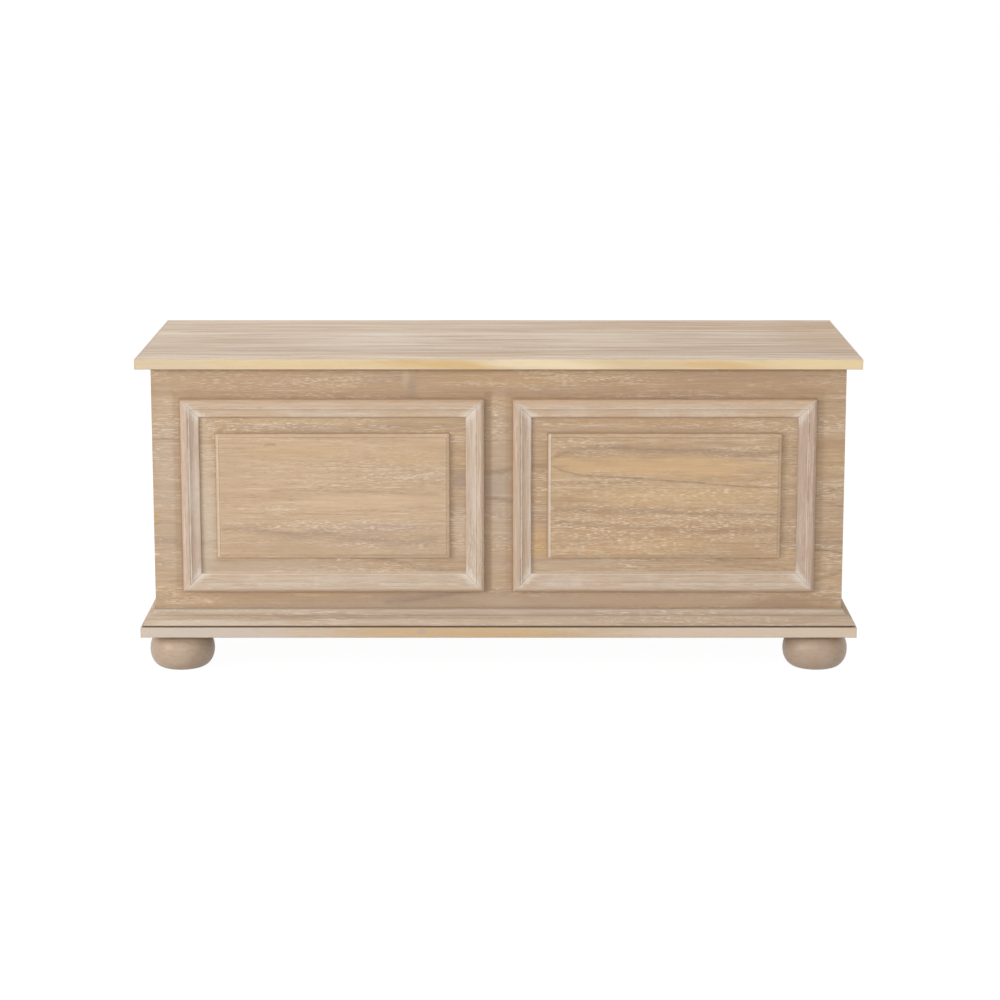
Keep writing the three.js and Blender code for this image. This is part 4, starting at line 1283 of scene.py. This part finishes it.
def makeBaseMouldings():
    low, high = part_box("base_moulding_front")
    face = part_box("front_panel")[0].y
    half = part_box("front_panel")[1].x
    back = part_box("base_moulding_left")[1].y
    section = baseSection(baseMoulding, face - low.y, high.z - low.z)
    inner, mitre = half - mitrePlay, face + mitrePlay
    sides = {                         # grain, start, end, place and which ends are mitred
        "front": (
            "xzy", lambda q: -inner - q, lambda q: inner + q,
            lambda u, q, h: (-u, face - q, low.z + h), (1, 1),
        ),
        "right": (
            "yzx", lambda q: -back, lambda q: q - mitre,
            lambda u, q, h: (half + q, -u, low.z + h), (0, 1),
        ),
        "left": (
            "yzx", lambda q: mitre - q, lambda q: back,
            lambda u, q, h: (-half - q, u, low.z + h), (1, 0),
        ),
    }
    for number, (side, (grain, startAt, endAt, place, mitred)) in enumerate(sides.items()):
        node = f"base_moulding_{side}"
        shape = sweep(section, startAt, endAt, place, mitred)
        finish = boardFinish(f"{node}_wood", grain, firstSeed["base"] + number, baseMarks, **baseWood)
        newPiece(f"{node}_length", shape, sharpMoulding, finish, "carcass", [node])


makeFrames()
makeBaseMouldings()
print("mouldings made")


# Bun feet, turned
foot = {
    "flatRadius": 25 * mm,
    "squareness": 2.4,
    "steps": 48,
    "turns": 96,
    "boreRadius": 4.3 * mm,
    "boreDepth": 32 * mm,
    "wood": tone(180, 156, 133),
    "shade": tone(158, 134, 111),
    "patch": tone(186, 164, 142),
    "warm": tone(182, 152, 122),
    "boardShadow": tone(96, 76, 58),         # painted shadow where the foot meets the board
    "boardShadowReach": 8 * mm,
    "warmth": 0.5,                    # strength of each effect, 0 to 1
    "grain": 0.34,
    "limeFlecks": 0.12,
    "boardShadowStrength": 0.8,
    "gloss": (0.36, 0.12),            # of the smoothest wood, and what the grain adds
    "relief": (0.08 * mm, 0.4),
    "seedTurn": (2.3, 1.7),
}
footEdge = {"cloud": (0.35, 0.65), "warm": (0.52, 0.72), "grain": (0.45, 0.7), "fleck": (0.64, 0.7)}
footNoise = {                         # repeats per metre along x, y and z, offset, detail, roughness
    "cloud": (26, 26, 34, 0.0, 3, 0.55),
    "grain": (14, 190, 190, 3.0, 3, 0.6),
    "fleck": (120, 620, 620, 7.0, 1, 0.4),
    "warm": (17, 17, 22, 11.0, 2, 0.5),
}
footPlaces = ("front_left", "front_right", "back_left", "back_right")


def footShape(low, high):
    height, radius = high.z - low.z, (high.x - low.x) / 2
    flat, bore, boreEnd = foot["flatRadius"], foot["boreRadius"], height - foot["boreDepth"]
    profile = [(0, 0)]
    for step in range(foot["steps"] + 1):
        level = -math.cos(math.pi * step / foot["steps"])
        swell = (1 - level * level) ** (1 / foot["squareness"])
        profile.append((flat + (radius - flat) * swell, height * (1 + level) / 2))
    profile += [(bore, height), (bore, boreEnd), (0, boreEnd)]
    shape = bmesh.new()
    x, y = (low.x + high.x) / 2, (low.y + high.y) / 2
    rings = []
    for distance, level in profile:
        turns = [2 * math.pi * step / foot["turns"] for step in range(foot["turns"] if distance else 1)]
        rings.append([
            shape.verts.new((x + distance * math.cos(t), y + distance * math.sin(t), low.z + level))
            for t in turns
        ])
    for lower, upper in zip(rings, rings[1:]):
        for step in range(foot["turns"]):
            follow = (step + 1) % foot["turns"]
            if len(lower) == 1:
                corners = (lower[0], upper[step], upper[follow])
            elif len(upper) == 1:
                corners = (lower[step], lower[follow], upper[0])
            else:
                corners = (lower[step], lower[follow], upper[follow], upper[step])
            shape.faces.new(corners).smooth = True
    return shape


def footFinish(name, seed):
    material, shader, place = newFinish(name)
    turnX, turnY = foot["seedTurn"]
    found = {}
    for kind, (perX, perY, perZ, turn, detail, roughness) in footNoise.items():
        spot = point(
            timesPlus(place["x"], perX, seed * turnX + turn),
            timesPlus(place["y"], perY, seed * turnY),
            timesPlus(place["z"], perZ, seed),
        )
        found[kind] = noise(spot, detail, roughness)

    def amount(kind, strength=1):
        return between(found[kind], *footEdge[kind], 0, strength)

    colour = lay(foot["wood"], foot["patch"], amount("cloud"))
    colour = lay(colour, foot["warm"], amount("warm", foot["warmth"]))
    colour = lay(colour, foot["shade"], amount("grain", foot["grain"]))
    colour = lay(colour, limedWood["lime"], amount("fleck", foot["limeFlecks"]))
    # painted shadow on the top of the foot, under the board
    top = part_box("base_board")[0].z
    boardShadow = between(place["z"], top - foot["boardShadowReach"], top, 0, foot["boardShadowStrength"])
    feed(shader.inputs["Base Color"], lay(colour, foot["boardShadow"], boardShadow))
    smooth, rougher = foot["gloss"]
    feed(shader.inputs["Roughness"], timesPlus(found["grain"], rougher, smooth))
    feed(shader.inputs["Normal"], bump(found["grain"], *foot["relief"]))
    return material


def makeFeet():
    for seed, place in enumerate(footPlaces):
        node = f"{place}_foot"
        shape, finish = footShape(*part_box(node)), footFinish(f"{node}_wood", seed + 1)
        newPiece(f"{node}_turned", shape, sharpFoot, finish, "carcass", [node])


makeFeet()
print("feet made")


# Metal and pads
metals = {
    "brass": {"colour": tone(194, 170, 124), "worn": tone(184, 160, 115), "gloss": 0.24},
    "brassScrew": {"colour": tone(166, 141, 98), "worn": tone(150, 126, 86), "gloss": 0.36},
    "steel": {"colour": tone(196, 198, 200), "worn": tone(180, 183, 186), "gloss": 0.26},
    "steelScrew": {"colour": tone(172, 174, 176), "worn": tone(152, 155, 158), "gloss": 0.36},
}
brushing = {                          # repeats per metre along and across the strokes, and what they add
    "along": 90,
    "across": 2400,
    "noise": (2, 0.6),
    "gloss": 0.24,
    "relief": (0.02 * mm, 0.35),
}
wear = {"noise": (140, 3, 0.6), "edge": (0.4, 0.7)}
pad = {
    "dark": tone(206, 202, 192),
    "pale": tone(228, 225, 216),
    "noise": (1500, 3, 0.7),
    "gloss": 0.85,
    "relief": (0.1 * mm, 0.5),
}
metalEdges = {"hinge": 0.15 * mm, "stay": 0.2 * mm, "bumper": 0.4 * mm}


def metalFinish(name, settings, along):
    material, shader, place = newFinish(name)
    worn = between(evenNoise(place, *wear["noise"]), *wear["edge"])
    spot = (place[letter] * brushing["along" if letter == along else "across"] for letter in "xyz")
    line = noise(point(*spot), *brushing["noise"])
    feed(shader.inputs["Base Color"], lay(settings["colour"], settings["worn"], worn))
    feed(shader.inputs["Metallic"], 1)
    feed(shader.inputs["Roughness"], timesPlus(line, brushing["gloss"], settings["gloss"]))
    feed(shader.inputs["Normal"], bump(line, *brushing["relief"]))
    return material


def padFinish():
    material, shader, place = newFinish("pad_rubber")
    speck = evenNoise(place, *pad["noise"])
    feed(shader.inputs["Base Color"], lay(pad["dark"], pad["pale"], speck))
    feed(shader.inputs["Roughness"], pad["gloss"])
    feed(shader.inputs["Normal"], bump(speck, *pad["relief"]))
    return material


def dressMetal():
    brass = metalFinish("brass_plate", metals["brass"], "x")
    steel = metalFinish("zinc_steel", metals["steel"], "z")
    hinge = ("body_leaf", "lid_leaf", "pin")
    stay = ("side_bracket", "lid_bracket", "lower_arm", "upper_arm", "elbow_rivet")
    for side in ("left", "right"):
        dress([f"{side}_hinge_{part}" for part in hinge], brass, metalEdges["hinge"])
        dress([f"{side}_stay_{part}" for part in stay], steel, metalEdges["stay"])
        dress([f"{side}_lid_bumper"], padFinish(), metalEdges["bumper"])
    for place in footPlaces:
        dress([f"{place}_foot_bolt", f"{place}_foot_tee_nut"], steel, 0)


dressMetal()
print("metal dressed")


# Screws: round heads where there is room, flush ones where a plate or the lid passes close
brassScrew = metalFinish("brass_screw", metals["brassScrew"], "x")
steelScrew = metalFinish("steel_screw", metals["steelScrew"], "x")
screwKinds = {
    "round": {"radius": 3.6 * mm, "rise": 1.5 * mm, "shank": 1.9 * mm, "length": 13 * mm},
    "flush": {"radius": 2.0 * mm, "rise": 0.3 * mm, "shank": 1.6 * mm, "length": 12 * mm},
    "board": {"radius": 4.0 * mm, "rise": 0.3 * mm, "shank": 2.0 * mm, "length": 40 * mm},
}
screwSides = 32
headShares = ((1, 0), (1, 0.45), (0.94, 0.8), (0.8, 1))   # of the head's radius and rise, up its side
tipShare, pointShare = 0.3, 3         # tip's radius and point's length, as shares of the shank's radius
crossArm, crossHalf, crossDepth = 0.56, 0.13, 0.5   # the driver's cross, as shares of the head's radius
driveStart, driveStep = 11, 37        # how far the cross is turned, in degrees, from screw to screw
screwPlaces = {
    "fromPlateEnd": 7 * mm,           # hole centre from the plate's edges
    "bracketApart": 15 * mm,          # half the distance between the side bracket's holes
    "flushDrop": 0.5 * mm,            # how deep a flush head sits in its plate
    "boardInset": (9 * mm, 60 * mm),  # from the carcass faces, and from its corners
    "boardAlong": 5,
    "hingeLeaf": 1.5 * mm,            # thickness of the plates
    "stayPlate": 1.5 * mm,
}


def addScrew(shape, kind, place):
    radius, rise, shank = kind["radius"], kind["rise"], kind["shank"]

    def ring(distance, level):
        turns = [2 * math.pi * step / screwSides for step in range(screwSides)]
        spots = [(distance * math.cos(t), distance * math.sin(t), level) for t in turns]
        return [shape.verts.new(place @ Vector(spot)) for spot in spots]

    def edges(loop):
        pairs = zip(loop, loop[1:] + loop[:1])
        return [shape.edges.get(pair) or shape.edges.new(pair) for pair in pairs]

    rings = [ring(shank * tipShare, -kind["length"]), ring(shank, -kind["length"] + pointShare * shank)]
    rings += [ring(shank, 0), *(ring(radius * out, rise * up) for out, up in headShares)]
    shape.faces.new(list(reversed(rings[0])))
    for lower, upper in zip(rings, rings[1:]):
        for step in range(screwSides):
            follow = (step + 1) % screwSides
            shape.faces.new((lower[step], lower[follow], upper[follow], upper[step]))
    arm, half = crossArm * radius, crossHalf * radius
    outline = []
    for turn in range(4):
        for x, y in ((half, half), (half, arm), (-half, arm)):
            for _ in range(turn):
                x, y = -y, x
            outline.append((x, y))
    upper = [shape.verts.new(place @ Vector((x, y, rise))) for x, y in outline]
    lower = [shape.verts.new(place @ Vector((x, y, rise - crossDepth * radius))) for x, y in outline]
    bmesh.ops.triangle_fill(shape, use_beauty=True, edges=edges(rings[-1]) + edges(upper))
    for step in range(len(outline)):
        follow = (step + 1) % len(outline)
        shape.faces.new((upper[step], upper[follow], lower[follow], lower[step]))
    shape.faces.new(lower)


def makeScrews(name, kindName, spots, outward, material, body):
    turn = Vector(outward).to_track_quat("Z", "Y").to_matrix().to_4x4()
    shape = bmesh.new()
    for number, spot in enumerate(spots):
        drive = Matrix.Rotation(math.radians(driveStep * number + driveStart), 4, "Z")
        addScrew(shape, screwKinds[kindName], Matrix.Translation(spot) @ turn @ drive)
    newPiece(name, shape, None, material, body, None)


def screwPlates():
    edge, sink, apart = (screwPlaces[name] for name in ("fromPlateEnd", "flushDrop", "bracketApart"))
    leaf, plate = screwPlaces["hingeLeaf"], screwPlaces["stayPlate"]
    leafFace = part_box("back_panel")[1].y + leaf
    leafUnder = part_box("lid_panel")[0].z - leaf
    for side, sign in (("left", -1), ("right", 1)):
        low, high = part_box(f"{side}_hinge_body_leaf")
        xs = (low.x + edge, (low.x + high.x) / 2, high.x - edge)
        spots = [(x, leafFace, low.z + edge) for x in xs]
        makeScrews(f"{side}_hinge_body_screws", "round", spots, (0, 1, 0), brassScrew, "carcass")
        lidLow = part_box(f"{side}_hinge_lid_leaf")[0]
        spots = [(x, lidLow.y + edge, leafUnder + sink) for x in xs]
        makeScrews(f"{side}_hinge_lid_screws", "flush", spots, (0, 0, -1), brassScrew, "lid")
        low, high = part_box(f"{side}_stay_side_bracket")
        inner = sign * (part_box("right_side_panel")[0].x - plate + sink)
        spots = [(inner, (low.y + high.y) / 2, (low.z + high.z) / 2 + turn * apart) for turn in (-1, 1)]
        makeScrews(f"{side}_stay_side_screws", "flush", spots, (-sign, 0, 0), steelScrew, "carcass")
        low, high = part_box(f"{side}_stay_lid_bracket")
        inside = high.x - edge if side == "left" else low.x + edge
        spots = [(inside, y, high.z - plate) for y in (low.y + edge, high.y - edge)]
        makeScrews(f"{side}_stay_lid_screws", "round", spots, (0, 0, -1), steelScrew, "lid")


def screwBase():
    low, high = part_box("front_panel")[0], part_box("back_panel")[1]
    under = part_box("base_board")[0].z
    inset, corner = screwPlaces["boardInset"]
    count = screwPlaces["boardAlong"]
    xs = [low.x + corner + (high.x - low.x - 2 * corner) * step / (count - 1) for step in range(count)]
    for row, y in (("front", low.y + inset), ("back", high.y - inset)):
        spots = [(x, y, under) for x in xs]
        makeScrews(f"base_board_{row}_screws", "board", spots, (0, 0, -1), steelScrew, "carcass")


screwPlates()
screwBase()
print("screws driven")


# Floor, backdrop and light
def seenDirectly(tree):
    # whether a ray comes straight from the viewer, off a shiny face or through glass
    rays = tree.nodes.new("ShaderNodeLightPath").outputs
    return largest([Flow(tree, rays[f"Is {kind} Ray"]) for kind in ("Camera", "Glossy", "Transmission")])


def makeFloor(settings):
    mesh = bpy.data.meshes.new("floor")
    reach = settings["floorReach"]
    corners = [(-reach, -reach, 0), (reach, -reach, 0), (reach, reach, 0), (-reach, reach, 0)]
    mesh.from_pydata(corners, [], [(0, 1, 2, 3)])
    floor = bpy.data.objects.new("floor", mesh)
    bpy.context.scene.collection.objects.link(floor)
    material, shader = plainFinish("floor_white")
    tree = material.node_tree
    shade = settings["floorShade"]
    feed(shader.inputs["Base Color"], (shade, shade, shade, 1))
    feed(shader.inputs["Roughness"], settings["floorRoughness"])
    glow = tree.nodes.new("ShaderNodeEmission")
    feed(glow.inputs["Strength"], settings["floorWhite"])
    mix = tree.nodes.new("ShaderNodeMixShader")
    feed(mix.inputs[0], seenDirectly(tree) * settings["floorGlow"])
    tree.links.new(shader.outputs[0], mix.inputs[1])
    tree.links.new(glow.outputs[0], mix.inputs[2])
    tree.links.new(mix.outputs[0], nodeOfKind(tree, "OUTPUT_MATERIAL").inputs["Surface"])
    mesh.materials.append(material)


def makeWorld(settings):
    world = bpy.data.worlds.new("studio")
    bpy.context.scene.world = world
    world.use_nodes = True
    background = nodeOfKind(world.node_tree, "BACKGROUND")
    room = settings["roomLight"]
    feed(background.inputs["Color"], (1, 1, 1, 1))
    feed(background.inputs["Strength"], timesPlus(seenDirectly(world.node_tree), 1 - room, room))


def makeLamp(name, settings, aim):
    data = bpy.data.lights.new(name, "AREA")
    data.shape = "RECTANGLE"
    data.size, data.size_y = settings["size"]
    data.energy = settings["power"]
    lamp = bpy.data.objects.new(name, data)
    lamp.location = settings["place"]
    lamp.rotation_euler = (Vector(aim) - Vector(settings["place"])).to_track_quat("-Z", "Y").to_euler()
    bpy.context.scene.collection.objects.link(lamp)


makeFloor(studio)
makeWorld(studio)
for lampName, lampSettings in studio["lamps"].items():
    makeLamp(lampName, lampSettings, studio["aim"])
print("studio lit")
